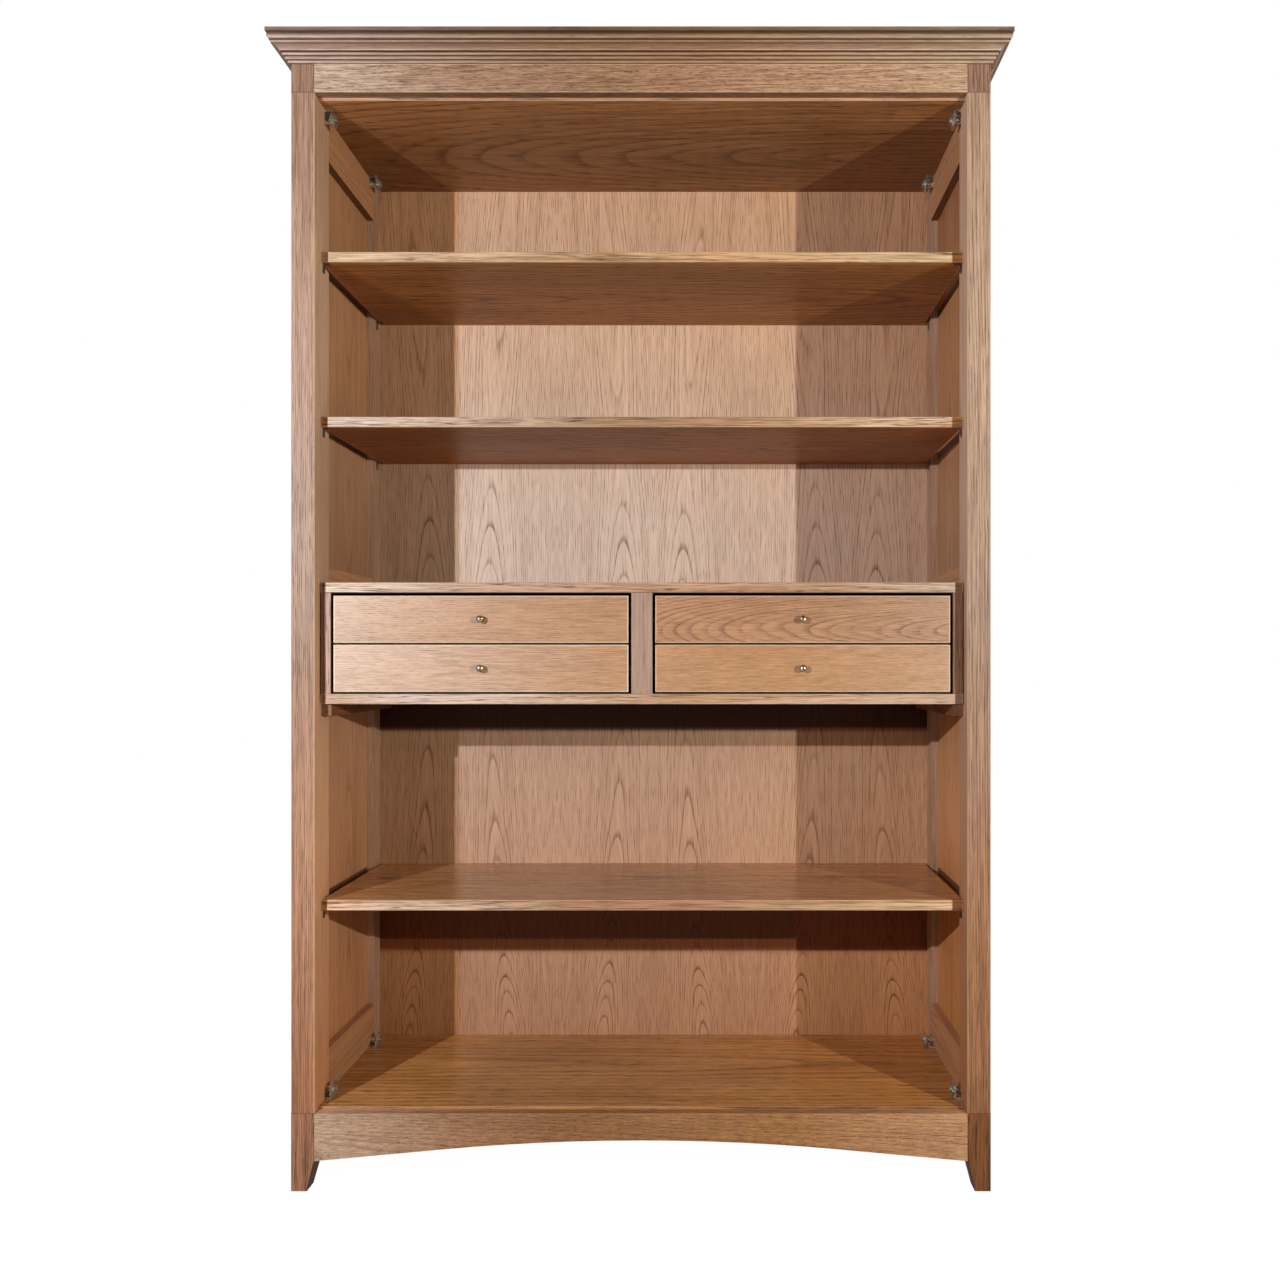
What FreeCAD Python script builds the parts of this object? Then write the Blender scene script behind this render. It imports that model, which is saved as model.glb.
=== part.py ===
import FreeCAD
import Part
import math
import os

# An open-front bookcase that comes apart into a base, two framed sides, a back and a cornice.
# Millimetres, +Z up. The front faces -Y. The origin is on the floor, under the middle of the
# overall box.

# Main sizes
body_width = 1200.0
body_depth = 400.0
base_height = 133.0
frieze_height = 48.0

# Framed sides
post_width = 40.0
post_depth = 50.0
post_ease = 2.0
frame_step = 6.0
front_stile_width = 38.0
back_stile_width = 55.0
top_rail_height = 80.0
middle_rail_height = 134.0
bottom_rail_height = 81.0
middle_rail_above_case = 30.5
side_panel_recess = 14.0
side_panel_thickness = 10.0
groove_depth = 8.0
panel_play = 1.0
stub_tenon_gap = 0.5

# Base: legs, apron and rails
leg_depth = 44.0
foot_taper_height = 52.0
foot_width = 27.5
foot_depth = 32.0
leg_ease = 1.0
rail_thickness = 20.0
rail_ease = 1.0
base_rail_height = 81.0
arch_crown_height = 87.0
arch_radius = 3760.0
arch_half_chord = 343.0
tenon_length = 18.0
tenon_thickness = 8.0
tenon_shoulder = 12.0
mortise_gap = 1.0
dowel_diameter = 8.0
dowel_length = 40.0
dowel_end_gap = 1.0

# Boards and shelves
board_thickness = 18.0
board_lip = 4.0
board_gap = 0.5
cleat_width = 18.0
cleat_height = 18.0
lowest_bay_height = 337.0
lower_bay_height = 342.0
upper_bay_height = 271.0
high_bay_height = 269.5
top_bay_height = 258.0
shelf_thickness = 18.0
shelf_end_gap = 1.0
shelf_set_back = 31.0
shelf_back_gap = 2.0
lipping_depth = 10.0
shelf_ease = 1.0

# Back panel
back_panel_inset = 14.0
back_panel_thickness = 8.0
back_rebate_width = 10.0

# Crown moulding, from its foot up: how far each member stands out, and how tall it is
crown_overhang = 32.0
lower_reed_reach = 3.0
middle_reed_reach = 6.5
upper_reed_reach = 10.0
cove_foot_reach = 14.0
cove_head_reach = 23.5
bead_reach = 25.0
lower_quirk_reach = 23.0
ovolo_reach = 27.5
upper_quirk_reach = 26.5
reed_height = 5.1
cove_foot_height = 1.4
cove_height = 6.9
bead_height = 3.4
lower_quirk_height = 1.6
ovolo_height = 9.0
upper_quirk_height = 1.8
top_fillet_height = 6.6
reed_bulge = 1.0
cove_hollow = 1.4
bead_bulge = 1.2
ovolo_bulge = 2.6
cap_thickness = 8.0
cap_rebate_width = 10.0

# Drawer case
case_height = 211.5
case_board_thickness = 18.0
case_end_gap = 2.0
case_set_back = 25.0
case_ease = 1.0
case_back_thickness = 6.0
centre_stile_width = 38.0
centre_stile_depth = 22.0
partition_thickness = 18.0
tongue_thickness = 7.0
tongue_height = 6.0
tongue_set_back = 30.0
case_cleat_width = 18.0
case_cleat_height = 21.0
case_cleat_set_back = 33.0

# Drawers
drawer_end_gap = 4.5
drawer_top_gap = 5.0
drawer_middle_gap = 3.0
drawer_bottom_gap = 3.0
drawer_rear_gap = 8.5
drawer_front_thickness = 20.0
drawer_front_ease = 1.0
drawer_side_thickness = 12.0
drawer_side_height = 66.0
drawer_side_lift = 6.0
drawer_back_thickness = 12.0
drawer_back_inset = 12.0
drawer_back_drop = 6.0
drawer_bottom_thickness = 5.0
drawer_bottom_lift = 8.0
drawer_bottom_groove = 5.0
drawer_housing = 4.0
tail_count = 3
tail_length = 13.0
tail_root_width = 11.0
tail_end_width = 15.0
runner_height = 14.0
runner_bite = 6.0
runner_clearance = 0.3
runner_tip_gap = 0.5
runner_stop_gap = 1.0

# Knobs
rose_diameter = 10.0
rose_thickness = 2.0
neck_diameter = 6.5
neck_length = 5.0
head_diameter = 12.0
head_rim = 2.5
head_dome = 4.5
spigot_diameter = 4.0
spigot_length = 12.0

# Shelf pegs
peg_width = 6.0
peg_thickness = 2.0
peg_leaf_height = 15.0
peg_arm_length = 12.0
peg_pin_diameter = 5.0
peg_pin_length = 10.0
peg_pin_drop = 8.0
peg_clearance = 0.3
front_peg_depth = 43.0
back_peg_inset = 35.0

# Corner fixings that bolt the sides to the bottom and top boards
plate_thickness = 3.0
plate_width = 28.0
plate_leaf_height = 23.0
plate_stand_off = 14.0
plate_side_gap = 0.5
bolt_shank_diameter = 6.0
bolt_disc_diameter = 22.0
bolt_disc_thickness = 3.0
bolt_head_diameter = 10.0
bolt_head_length = 3.0
bolt_collar_diameter = 12.0
bolt_thread_length = 20.0
bolt_height = 12.0
front_fixing_depth = 66.0
back_fixing_inset = 77.0

# Overrun of cutting tools past the faces that they cut
overrun = 5.0

# Places worked out from the sizes above
half_width = body_width / 2
back_y = (body_depth + crown_overhang) / 2
front_y = back_y - body_depth
post_inner_x = half_width - post_width
frame_inner_x = post_inner_x + frame_step
post_rear_y = front_y + post_depth
front_stile_rear_y = post_rear_y + front_stile_width
back_stile_front_y = back_y - back_stile_width
back_panel_y = back_y - back_panel_inset
side_panel_inner_x = frame_inner_x + side_panel_recess
side_panel_outer_x = side_panel_inner_x + side_panel_thickness
rail_inner_x = half_width - rail_thickness
apron_rear_y = front_y + rail_thickness
back_rail_front_y = back_y - rail_thickness
base_rail_z = base_height - base_rail_height

bottom_board_top_z = base_height + board_lip
lower_shelf_z = bottom_board_top_z + lowest_bay_height
case_z = lower_shelf_z + shelf_thickness + lower_bay_height
case_top_z = case_z + case_height
middle_shelf_z = case_top_z + upper_bay_height
upper_shelf_z = middle_shelf_z + shelf_thickness + high_bay_height
top_board_under_z = upper_shelf_z + shelf_thickness + top_bay_height
side_top_z = top_board_under_z + board_lip
side_height = side_top_z - base_height

frieze_top_z = side_top_z + frieze_height
crown_height = (3 * reed_height + cove_foot_height + cove_height + bead_height
                + lower_quirk_height + ovolo_height + upper_quirk_height + top_fillet_height)
crown_top_z = frieze_top_z + crown_height

case_outer_x = post_inner_x - case_end_gap
case_inner_x = case_outer_x - case_board_thickness
case_front_y = front_y + case_set_back
case_rear_y = back_panel_y - shelf_back_gap
case_floor_z = case_z + case_board_thickness
case_ceiling_z = case_top_z - case_board_thickness
half_stile = centre_stile_width / 2
half_partition = partition_thickness / 2
case_back_y = case_rear_y - case_back_thickness

drawer_front_height = (case_ceiling_z - case_floor_z - drawer_top_gap - drawer_middle_gap
                       - drawer_bottom_gap) / 2
drawer_inner_x = half_stile + drawer_end_gap
drawer_outer_x = case_inner_x - drawer_end_gap
drawer_rear_y = case_back_y - drawer_rear_gap
drawer_front_back_y = case_front_y + drawer_front_thickness
lower_drawer_z = case_floor_z + drawer_bottom_gap
upper_drawer_z = lower_drawer_z + drawer_front_height + drawer_middle_gap


def vec(x, y, z):
    return FreeCAD.Vector(x, y, z)


def box(low, high):
    size = [high[i] - low[i] for i in range(3)]
    return Part.makeBox(size[0], size[1], size[2], vec(*low))


def prism(points, direction):
    # A flat outline of points, carried along a direction
    wire = Part.makePolygon(points + [points[0]])
    return Part.Face(wire).extrude(direction)


def bar(low, high, axis, ease, eased):
    # A straight piece between two corners. eased lists the arrises along its axis that lose a
    # small flat, as signs across the piece in the order X, Y, Z without the axis itself.
    along = "xyz".index(axis)
    across = [i for i in range(3) if i != along]
    first, second = across
    outline = []
    for side, level in ((-1, -1), (1, -1), (1, 1), (-1, 1)):
        a = high[first] if side > 0 else low[first]
        b = high[second] if level > 0 else low[second]
        if (side, level) not in eased:
            outline.append((a, b))
            continue
        pair = [(a, b - level * ease), (a - side * ease, b)]
        if side * level < 0:
            pair.reverse()
        outline.extend(pair)
    points = []
    for a, b in outline:
        place = [low[along]] * 3
        place[first] = a
        place[second] = b
        points.append(vec(*place))
    run = [0, 0, 0]
    run[along] = high[along] - low[along]
    return prism(points, vec(*run))


def peg_cylinder(diameter, start, direction, length):
    return Part.makeCylinder(diameter / 2, length, start, direction)


def mirrored(shape):
    # The same piece on the other side of the middle plane
    return shape.mirror(vec(0, 0, 0), vec(1, 0, 0))


def fused(shapes):
    whole = shapes[0]
    for shape in shapes[1:]:
        whole = whole.fuse(shape)
    return whole.removeSplitter()


def without(shape, tools):
    for tool in tools:
        shape = shape.cut(tool)
    return shape


def save(name, solids):
    # Writes one piece, or a group of like pieces, under its name
    group = []
    for solid in solids:
        group.extend(solid.Solids)
    shape = group[0] if len(group) == 1 else Part.makeCompound(group)
    shape.exportStep("parts/" + name + ".step")
    print(name, len(group), round(shape.Volume))


def dowel_places():
    # Plan positions of the locating dowels on the right side: through the post and the back stile
    x = half_width - post_width / 2
    return (x, front_y + leg_depth / 2), (x, back_y - leg_depth / 2)


def dowel_hole(place, z):
    depth = dowel_length / 2 + dowel_end_gap
    start = vec(place[0], place[1], z - depth)
    return peg_cylinder(dowel_diameter, start, vec(0, 0, 1), 2 * depth)


def make_dowels():
    dowels = []
    for z in (base_height, side_top_z):
        for place in dowel_places():
            start = vec(place[0], place[1], z - dowel_length / 2)
            dowel = peg_cylinder(dowel_diameter, start, vec(0, 0, 1), dowel_length)
            dowels.append(dowel)
            dowels.append(mirrored(dowel))
    return dowels


# Legs, and the mortises and tenons that join the rails to them

def tenon_band(low_z, high_z):
    # Height of a rail's tenon: the rail less a shoulder above and below
    return low_z + tenon_shoulder, high_z - tenon_shoulder


def tenon_x(outer_y, side, low_z, high_z, gap):
    # A tenon that runs in X into the leg on the right. outer_y is the rail's outer face.
    middle = outer_y + side * rail_thickness / 2
    z0, z1 = tenon_band(low_z, high_z)
    low = (post_inner_x, middle - tenon_thickness / 2, z0)
    high = (post_inner_x + tenon_length + gap, middle + tenon_thickness / 2, z1)
    return box(low, high)


def tenon_y(shoulder_y, side, low_z, high_z, gap):
    # A tenon that runs in Y into the front (side -1) or back (side 1) leg on the right
    middle = half_width - rail_thickness / 2
    z0, z1 = tenon_band(low_z, high_z)
    end_y = shoulder_y + side * (tenon_length + gap)
    low = (middle - tenon_thickness / 2, min(shoulder_y, end_y), z0)
    high = (middle + tenon_thickness / 2, max(shoulder_y, end_y), z1)
    return box(low, high)


def eased_rectangle(x0, x1, y0, y1, z):
    e = leg_ease
    points = [(x0 + e, y0), (x1 - e, y0), (x1, y0 + e), (x1, y1 - e),
              (x1 - e, y1), (x0 + e, y1), (x0, y1 - e), (x0, y0 + e)]
    ring = [vec(x, y, z) for x, y in points]
    return Part.makePolygon(ring + [ring[0]])


def make_leg(back):
    # A square leg whose two inner faces taper to a smaller foot
    if back:
        top_y = (back_y - leg_depth, back_y)
        foot_y = (back_y - foot_depth, back_y)
        long_mortise = tenon_x(back_y, -1, base_rail_z, base_height, mortise_gap)
        short_mortise = tenon_y(back_y - leg_depth, 1, base_rail_z, base_height, mortise_gap)
    else:
        top_y = (front_y, front_y + leg_depth)
        foot_y = (front_y, front_y + foot_depth)
        long_mortise = tenon_x(front_y, 1, base_rail_z, base_height, mortise_gap)
        short_mortise = tenon_y(front_y + leg_depth, -1, base_rail_z, base_height, mortise_gap)
    sections = [
        eased_rectangle(half_width - foot_width, half_width, foot_y[0], foot_y[1], 0),
        eased_rectangle(post_inner_x, half_width, top_y[0], top_y[1], foot_taper_height),
        eased_rectangle(post_inner_x, half_width, top_y[0], top_y[1], base_height),
    ]
    leg = Part.makeLoft(sections, True, True)
    place = dowel_places()[1 if back else 0]
    return without(leg, [long_mortise, short_mortise, dowel_hole(place, base_height)])


def arch_end_height():
    # The arch is a wide arc with a straight run, tangent to it, down to each leg
    angle = math.asin(arch_half_chord / arch_radius)
    arc_drop = arch_radius * (1 - math.cos(angle))
    straight_drop = (post_inner_x - arch_half_chord) * math.tan(angle)
    return arch_crown_height - arc_drop - straight_drop


def make_apron():
    y = front_y
    end_z = arch_end_height()
    angle = math.asin(arch_half_chord / arch_radius)
    tangent_z = arch_crown_height - arch_radius * (1 - math.cos(angle))
    crown = vec(0, y, arch_crown_height)
    left = vec(-arch_half_chord, y, tangent_z)
    right = vec(arch_half_chord, y, tangent_z)
    edges = [
        Part.makeLine(vec(-post_inner_x, y, end_z), left),
        Part.Arc(left, crown, right).toShape(),
        Part.makeLine(right, vec(post_inner_x, y, end_z)),
        Part.makeLine(vec(post_inner_x, y, end_z), vec(post_inner_x, y, base_height)),
        Part.makeLine(vec(post_inner_x, y, base_height), vec(-post_inner_x, y, base_height)),
        Part.makeLine(vec(-post_inner_x, y, base_height), vec(-post_inner_x, y, end_z)),
    ]
    apron = Part.Face(Part.Wire(edges)).extrude(vec(0, rail_thickness, 0))
    tenon = tenon_x(front_y, 1, base_rail_z, base_height, 0)
    return fused([apron, tenon, mirrored(tenon)])


def make_base_back_rail():
    rail = bar((-post_inner_x, back_rail_front_y, base_rail_z), (post_inner_x, back_y, base_height),
               "x", rail_ease, ((1, -1),))
    tenon = tenon_x(back_y, -1, base_rail_z, base_height, 0)
    return fused([rail, tenon, mirrored(tenon)])


def make_side_rail(end_depth, low_z, high_z):
    # A rail between the front and back legs, or between the corner blocks of the cornice
    front_end = front_y + end_depth
    back_end = back_y - end_depth
    rail = bar((rail_inner_x, front_end, low_z), (half_width, back_end, high_z),
               "y", rail_ease, ((1, -1),))
    front = tenon_y(front_end, -1, low_z, high_z, 0)
    back = tenon_y(back_end, 1, low_z, high_z, 0)
    return fused([rail, front, back])


# Bottom and top boards

def board_slab(z, height, end_depth):
    # The board inside its frame of rails, notched round the four legs or corner blocks
    narrow = post_inner_x - board_gap
    wide = rail_inner_x - board_gap
    front = apron_rear_y
    rear = back_rail_front_y - board_gap
    front_shoulder = front_y + end_depth + board_gap
    rear_shoulder = back_y - end_depth - board_gap
    half = [(narrow, front), (narrow, front_shoulder), (wide, front_shoulder),
            (wide, rear_shoulder), (narrow, rear_shoulder), (narrow, rear)]
    points = [vec(x, y, z) for x, y in half]
    points += [vec(-x, y, z) for x, y in reversed(half)]
    return prism(points, vec(0, 0, height))


def board_face(z, height):
    # The raised face of the board, which stands between the posts and the side frames
    narrow = post_inner_x - board_gap
    wide = frame_inner_x - board_gap
    front = apron_rear_y
    rear = back_panel_y - board_gap
    shoulder = post_rear_y + board_gap
    half = [(narrow, front), (narrow, shoulder), (wide, shoulder), (wide, rear)]
    points = [vec(x, y, z) for x, y in half]
    points += [vec(-x, y, z) for x, y in reversed(half)]
    return prism(points, vec(0, 0, height))


def make_bottom_board():
    slab_z = bottom_board_top_z - board_thickness
    slab = board_slab(slab_z, base_height - slab_z, leg_depth)
    return fused([slab, board_face(base_height, board_lip)])


def make_top_board():
    slab = board_slab(side_top_z, board_thickness - board_lip, post_depth)
    return fused([board_face(top_board_under_z, board_lip), slab])


def make_board_cleats():
    # Strips glued inside the rails, under the bottom board and over the top board
    bottom_z = bottom_board_top_z - board_thickness - cleat_height
    top_z = top_board_under_z + board_thickness
    cleats = []
    for z, end_depth in ((bottom_z, leg_depth), (top_z, post_depth)):
        long_x = post_inner_x - board_gap
        front = box((-long_x, apron_rear_y, z), (long_x, apron_rear_y + cleat_width, z + cleat_height))
        back = box((-long_x, back_rail_front_y - cleat_width, z),
                   (long_x, back_rail_front_y, z + cleat_height))
        side = box((rail_inner_x - cleat_width, front_y + end_depth + board_gap, z),
                   (rail_inner_x, back_y - end_depth - board_gap, z + cleat_height))
        cleats += [front, back, side, mirrored(side)]
    return cleats


# Framed sides

def groove_span():
    return side_panel_inner_x, side_panel_outer_x


def peg_hole(x, y, shelf_z):
    z = shelf_z - peg_clearance - peg_pin_drop
    return peg_cylinder(peg_pin_diameter, vec(x - overrun, y, z), vec(1, 0, 0), overrun + peg_pin_length)


def peg_rows():
    # Plan position of the front and back pegs on the right side
    front = (post_inner_x, front_y + front_peg_depth)
    back = (frame_inner_x, back_y - back_peg_inset)
    return front, back


def shelf_heights():
    return lower_shelf_z, middle_shelf_z, upper_shelf_z


def fixing_heights():
    return bottom_board_top_z + bolt_height, top_board_under_z - bolt_height


def fixing_rows():
    return front_y + front_fixing_depth, back_y - back_fixing_inset


def bolt_hole(y, z):
    start = vec(frame_inner_x - overrun, y, z)
    return peg_cylinder(bolt_shank_diameter, start, vec(1, 0, 0), overrun + bolt_thread_length)


def make_front_post():
    # Post and front stile in one stepped section, grooved behind for the panels
    groove_low, groove_high = groove_span()
    e = post_ease
    rear = front_stile_rear_y
    outline = [
        (post_inner_x, front_y + e), (post_inner_x + e, front_y), (half_width - e, front_y),
        (half_width, front_y + e), (half_width, rear), (groove_high, rear),
        (groove_high, rear - groove_depth), (groove_low, rear - groove_depth), (groove_low, rear),
        (frame_inner_x, rear), (frame_inner_x, post_rear_y), (post_inner_x, post_rear_y),
    ]
    post = prism([vec(x, y, base_height) for x, y in outline], vec(0, 0, side_height))
    x, y = peg_rows()[0]
    holes = [peg_hole(x, y, z) for z in shelf_heights()]
    holes += [dowel_hole(dowel_places()[0], z) for z in (base_height, side_top_z)]
    holes += [bolt_hole(fixing_rows()[0], z) for z in fixing_heights()]
    return without(post, holes)


def make_back_stile():
    # Grooved in front for the panels and rebated behind for the back panel
    groove_low, groove_high = groove_span()
    front = back_stile_front_y
    rebate_x = frame_inner_x + back_rebate_width
    outline = [
        (frame_inner_x, front), (groove_low, front), (groove_low, front + groove_depth),
        (groove_high, front + groove_depth), (groove_high, front), (half_width, front),
        (half_width, back_y), (rebate_x, back_y), (rebate_x, back_panel_y),
        (frame_inner_x, back_panel_y),
    ]
    stile = prism([vec(x, y, base_height) for x, y in outline], vec(0, 0, side_height))
    x, y = peg_rows()[1]
    holes = [peg_hole(x, y, z) for z in shelf_heights()]
    holes += [dowel_hole(dowel_places()[1], z) for z in (base_height, side_top_z)]
    return without(stile, holes)


def make_frame_rail(low_z, high_z, grooves):
    # A rail between the stiles, with stub tenons in their grooves and grooves for the panels
    groove_low, groove_high = groove_span()
    reach = groove_depth - stub_tenon_gap
    rail = box((frame_inner_x, front_stile_rear_y, low_z), (half_width, back_stile_front_y, high_z))
    tongue = box((groove_low, front_stile_rear_y - reach, low_z),
                 (groove_high, back_stile_front_y + reach, high_z))
    rail = fused([rail, tongue])
    tools = []
    for level in grooves:
        z = low_z if level < 0 else high_z - groove_depth
        tools.append(box((groove_low, front_stile_rear_y - groove_depth, z),
                         (groove_high, back_stile_front_y + groove_depth, z + groove_depth)))
    return without(rail, tools)


def make_frame_panel(low_z, high_z):
    # A loose panel held in the grooves all round, with room to move
    reach = groove_depth - panel_play
    return box((side_panel_inner_x, front_stile_rear_y - reach, low_z - reach),
               (side_panel_outer_x, back_stile_front_y + reach, high_z + reach))


def make_side():
    bottom = (base_height, base_height + bottom_rail_height)
    middle_top = case_top_z + middle_rail_above_case
    middle = (middle_top - middle_rail_height, middle_top)
    top = (side_top_z - top_rail_height, side_top_z)
    low_bolt, high_bolt = fixing_heights()
    bolt_y = fixing_rows()[1]
    return {
        "front_post": make_front_post(),
        "back_stile": make_back_stile(),
        "bottom_rail": without(make_frame_rail(bottom[0], bottom[1], (1,)), [bolt_hole(bolt_y, low_bolt)]),
        "middle_rail": make_frame_rail(middle[0], middle[1], (-1, 1)),
        "top_rail": without(make_frame_rail(top[0], top[1], (-1,)), [bolt_hole(bolt_y, high_bolt)]),
        "lower_panel": make_frame_panel(bottom[1], middle[0]),
        "upper_panel": make_frame_panel(middle[1], top[0]),
    }


def make_back_panel():
    x = frame_inner_x + back_rebate_width - board_gap
    return box((-x, back_panel_y, base_height), (x, back_panel_y + back_panel_thickness, side_top_z))


# Cornice

def make_frieze_front():
    rail = bar((-post_inner_x, front_y, side_top_z), (post_inner_x, apron_rear_y, frieze_top_z),
               "x", rail_ease, ((-1, -1),))
    tenon = tenon_x(front_y, 1, side_top_z, frieze_top_z, 0)
    return fused([rail, tenon, mirrored(tenon)])


def make_cornice_back_rail():
    # Wider above the corner blocks, where it closes the space between the crown's returns
    cap_z = crown_top_z - cap_thickness
    wide = half_width - rail_thickness
    outline = [(post_inner_x, side_top_z), (post_inner_x, frieze_top_z), (wide, frieze_top_z),
               (wide, cap_z)]
    points = [vec(x, back_rail_front_y, z) for x, z in outline]
    points += [vec(-x, back_rail_front_y, z) for x, z in reversed(outline)]
    rail = prism(points, vec(0, back_y - back_rail_front_y, 0))
    tenon = tenon_x(back_y, -1, side_top_z, frieze_top_z, 0)
    return fused([rail, tenon, mirrored(tenon)])


def make_corner_block(back):
    y0 = back_y - post_depth if back else front_y
    eased = ((-1, -1), (1, -1)) if not back else ()
    block = bar((post_inner_x, y0, side_top_z), (half_width, y0 + post_depth, frieze_top_z),
                "z", post_ease, eased)
    if back:
        long_mortise = tenon_x(back_y, -1, side_top_z, frieze_top_z, mortise_gap)
        short_mortise = tenon_y(back_y - post_depth, 1, side_top_z, frieze_top_z, mortise_gap)
    else:
        long_mortise = tenon_x(front_y, 1, side_top_z, frieze_top_z, mortise_gap)
        short_mortise = tenon_y(post_rear_y, -1, side_top_z, frieze_top_z, mortise_gap)
    place = dowel_places()[1 if back else 0]
    return without(block, [long_mortise, short_mortise, dowel_hole(place, side_top_z)])


def crown_face(place):
    # The moulding's section. place turns reach and height into a point in space.
    def line(a, b):
        return Part.makeLine(place(*a), place(*b))

    def curve(a, b, bulge):
        # An arc from a to b that stands out from its chord by the bulge, or in where negative
        run = (b[0] - a[0], b[1] - a[1])
        chord = math.hypot(run[0], run[1])
        middle = ((a[0] + b[0]) / 2 + bulge * run[1] / chord,
                  (a[1] + b[1]) / 2 - bulge * run[0] / chord)
        return Part.Arc(place(*a), place(*middle), place(*b)).toShape()

    edges = []
    inner = -rail_thickness
    z = 0
    corner = (inner, z)
    for reach in (lower_reed_reach, middle_reed_reach, upper_reed_reach):
        foot = (reach, z)
        head = (reach, z + reed_height)
        edges.append(line(corner, foot))
        edges.append(curve(foot, head, reed_bulge))
        corner = head
        z += reed_height
    members = (
        (cove_foot_reach, cove_foot_reach, cove_foot_height, 0),
        (cove_foot_reach, cove_head_reach, cove_height, -cove_hollow),
        (bead_reach, bead_reach, bead_height, bead_bulge),
        (lower_quirk_reach, lower_quirk_reach, lower_quirk_height, 0),
        (ovolo_reach, ovolo_reach, ovolo_height, ovolo_bulge),
        (upper_quirk_reach, upper_quirk_reach, upper_quirk_height, 0),
        (crown_overhang, crown_overhang, top_fillet_height, 0),
    )
    for foot_reach, head_reach, height, bulge in members:
        foot = (foot_reach, z)
        head = (head_reach, z + height)
        if foot != corner:
            edges.append(line(corner, foot))
        edges.append(curve(foot, head, bulge) if bulge else line(foot, head))
        corner = head
        z += height
    rebate_x = inner + cap_rebate_width
    edges.append(line(corner, (rebate_x, z)))
    edges.append(line((rebate_x, z), (rebate_x, z - cap_thickness)))
    edges.append(line((rebate_x, z - cap_thickness), (inner, z - cap_thickness)))
    edges.append(line((inner, z - cap_thickness), (inner, 0)))
    return Part.Face(Part.Wire(edges))


def mitre_tool(outer):
    # A wedge that cuts the crown at 45 degrees over the right front corner. outer names the side
    # of the mitre line that the wedge takes away.
    m = crown_overhang + rail_thickness + overrun
    low = vec(half_width - m, front_y + m, frieze_top_z - overrun)
    high = vec(half_width + m, front_y - m, frieze_top_z - overrun)
    if outer:
        third = vec(half_width + m, front_y + m, frieze_top_z - overrun)
    else:
        third = vec(half_width - m, front_y - m, frieze_top_z - overrun)
    return prism([low, high, third], vec(0, 0, crown_height + 2 * overrun))


def make_crown_front():
    start = -half_width - crown_overhang

    def place(reach, height):
        return vec(start, front_y - reach, frieze_top_z + height)

    crown = crown_face(place).extrude(vec(-2 * start, 0, 0))
    tool = mitre_tool(True)
    return without(crown, [tool, mirrored(tool)])


def make_crown_side():
    start = front_y - crown_overhang

    def place(reach, height):
        return vec(half_width + reach, start, frieze_top_z + height)

    crown = crown_face(place).extrude(vec(0, back_y - start, 0))
    return without(crown, [mitre_tool(False)])


def make_cornice_cap():
    x = half_width - rail_thickness + cap_rebate_width - board_gap
    y = front_y + rail_thickness - cap_rebate_width + board_gap
    return box((-x, y, crown_top_z - cap_thickness), (x, back_y, crown_top_z))


# Drawer case

def tongue(x, z, height):
    # A stopped tongue along the edge of an upright board, centred on x
    half = tongue_thickness / 2
    return box((x - half, case_front_y + tongue_set_back, z), (x + half, case_back_y, z + height))


def upright_places():
    outer = case_inner_x + case_board_thickness / 2
    return -outer, 0, outer


def tongue_slots(z):
    # Grooves for the tongues, from level z up
    return [tongue(x, z, tongue_height) for x in upright_places()]


def make_case_top():
    board = bar((-case_outer_x, case_front_y, case_ceiling_z), (case_outer_x, case_rear_y, case_top_z),
                "x", case_ease, ((-1, -1), (-1, 1)))
    return without(board, tongue_slots(case_ceiling_z))


def make_case_bottom():
    board = bar((-case_outer_x, case_front_y, case_z), (case_outer_x, case_rear_y, case_floor_z),
                "x", case_ease, ((-1, -1), (-1, 1)))
    return without(board, tongue_slots(case_floor_z - tongue_height))


def tongued(upright, x):
    foot = tongue(x, case_floor_z - tongue_height, tongue_height)
    head = tongue(x, case_ceiling_z, tongue_height)
    return fused([upright, foot, head])


def make_case_side():
    side = bar((case_inner_x, case_front_y, case_floor_z), (case_outer_x, case_rear_y, case_ceiling_z),
               "z", case_ease, ((-1, -1), (1, -1)))
    return tongued(side, upright_places()[2])


def make_centre_stile():
    return bar((-half_stile, case_front_y, case_floor_z),
               (half_stile, case_front_y + centre_stile_depth, case_ceiling_z),
               "z", case_ease, ((-1, -1), (1, -1)))


def make_partition():
    board = box((-half_partition, case_front_y + centre_stile_depth, case_floor_z),
                (half_partition, case_back_y, case_ceiling_z))
    return tongued(board, 0)


def make_case_back():
    return box((-case_inner_x, case_back_y, case_floor_z), (case_inner_x, case_rear_y, case_ceiling_z))


def runner_level(drawer_z):
    # Height of a runner's underside, in the middle of the drawer side
    side_z = drawer_z + drawer_side_lift
    return side_z + (drawer_side_height - runner_height) / 2


def make_runners():
    start = case_front_y + centre_stile_depth
    tip = runner_bite - runner_tip_gap
    runners = []
    for drawer_z in (lower_drawer_z, upper_drawer_z):
        z = runner_level(drawer_z)
        outer = box((drawer_outer_x - tip, start, z), (case_inner_x, case_back_y, z + runner_height))
        inner = box((half_partition, start, z), (drawer_inner_x + tip, case_back_y, z + runner_height))
        runners += [outer, inner, mirrored(outer), mirrored(inner)]
    return runners


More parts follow.
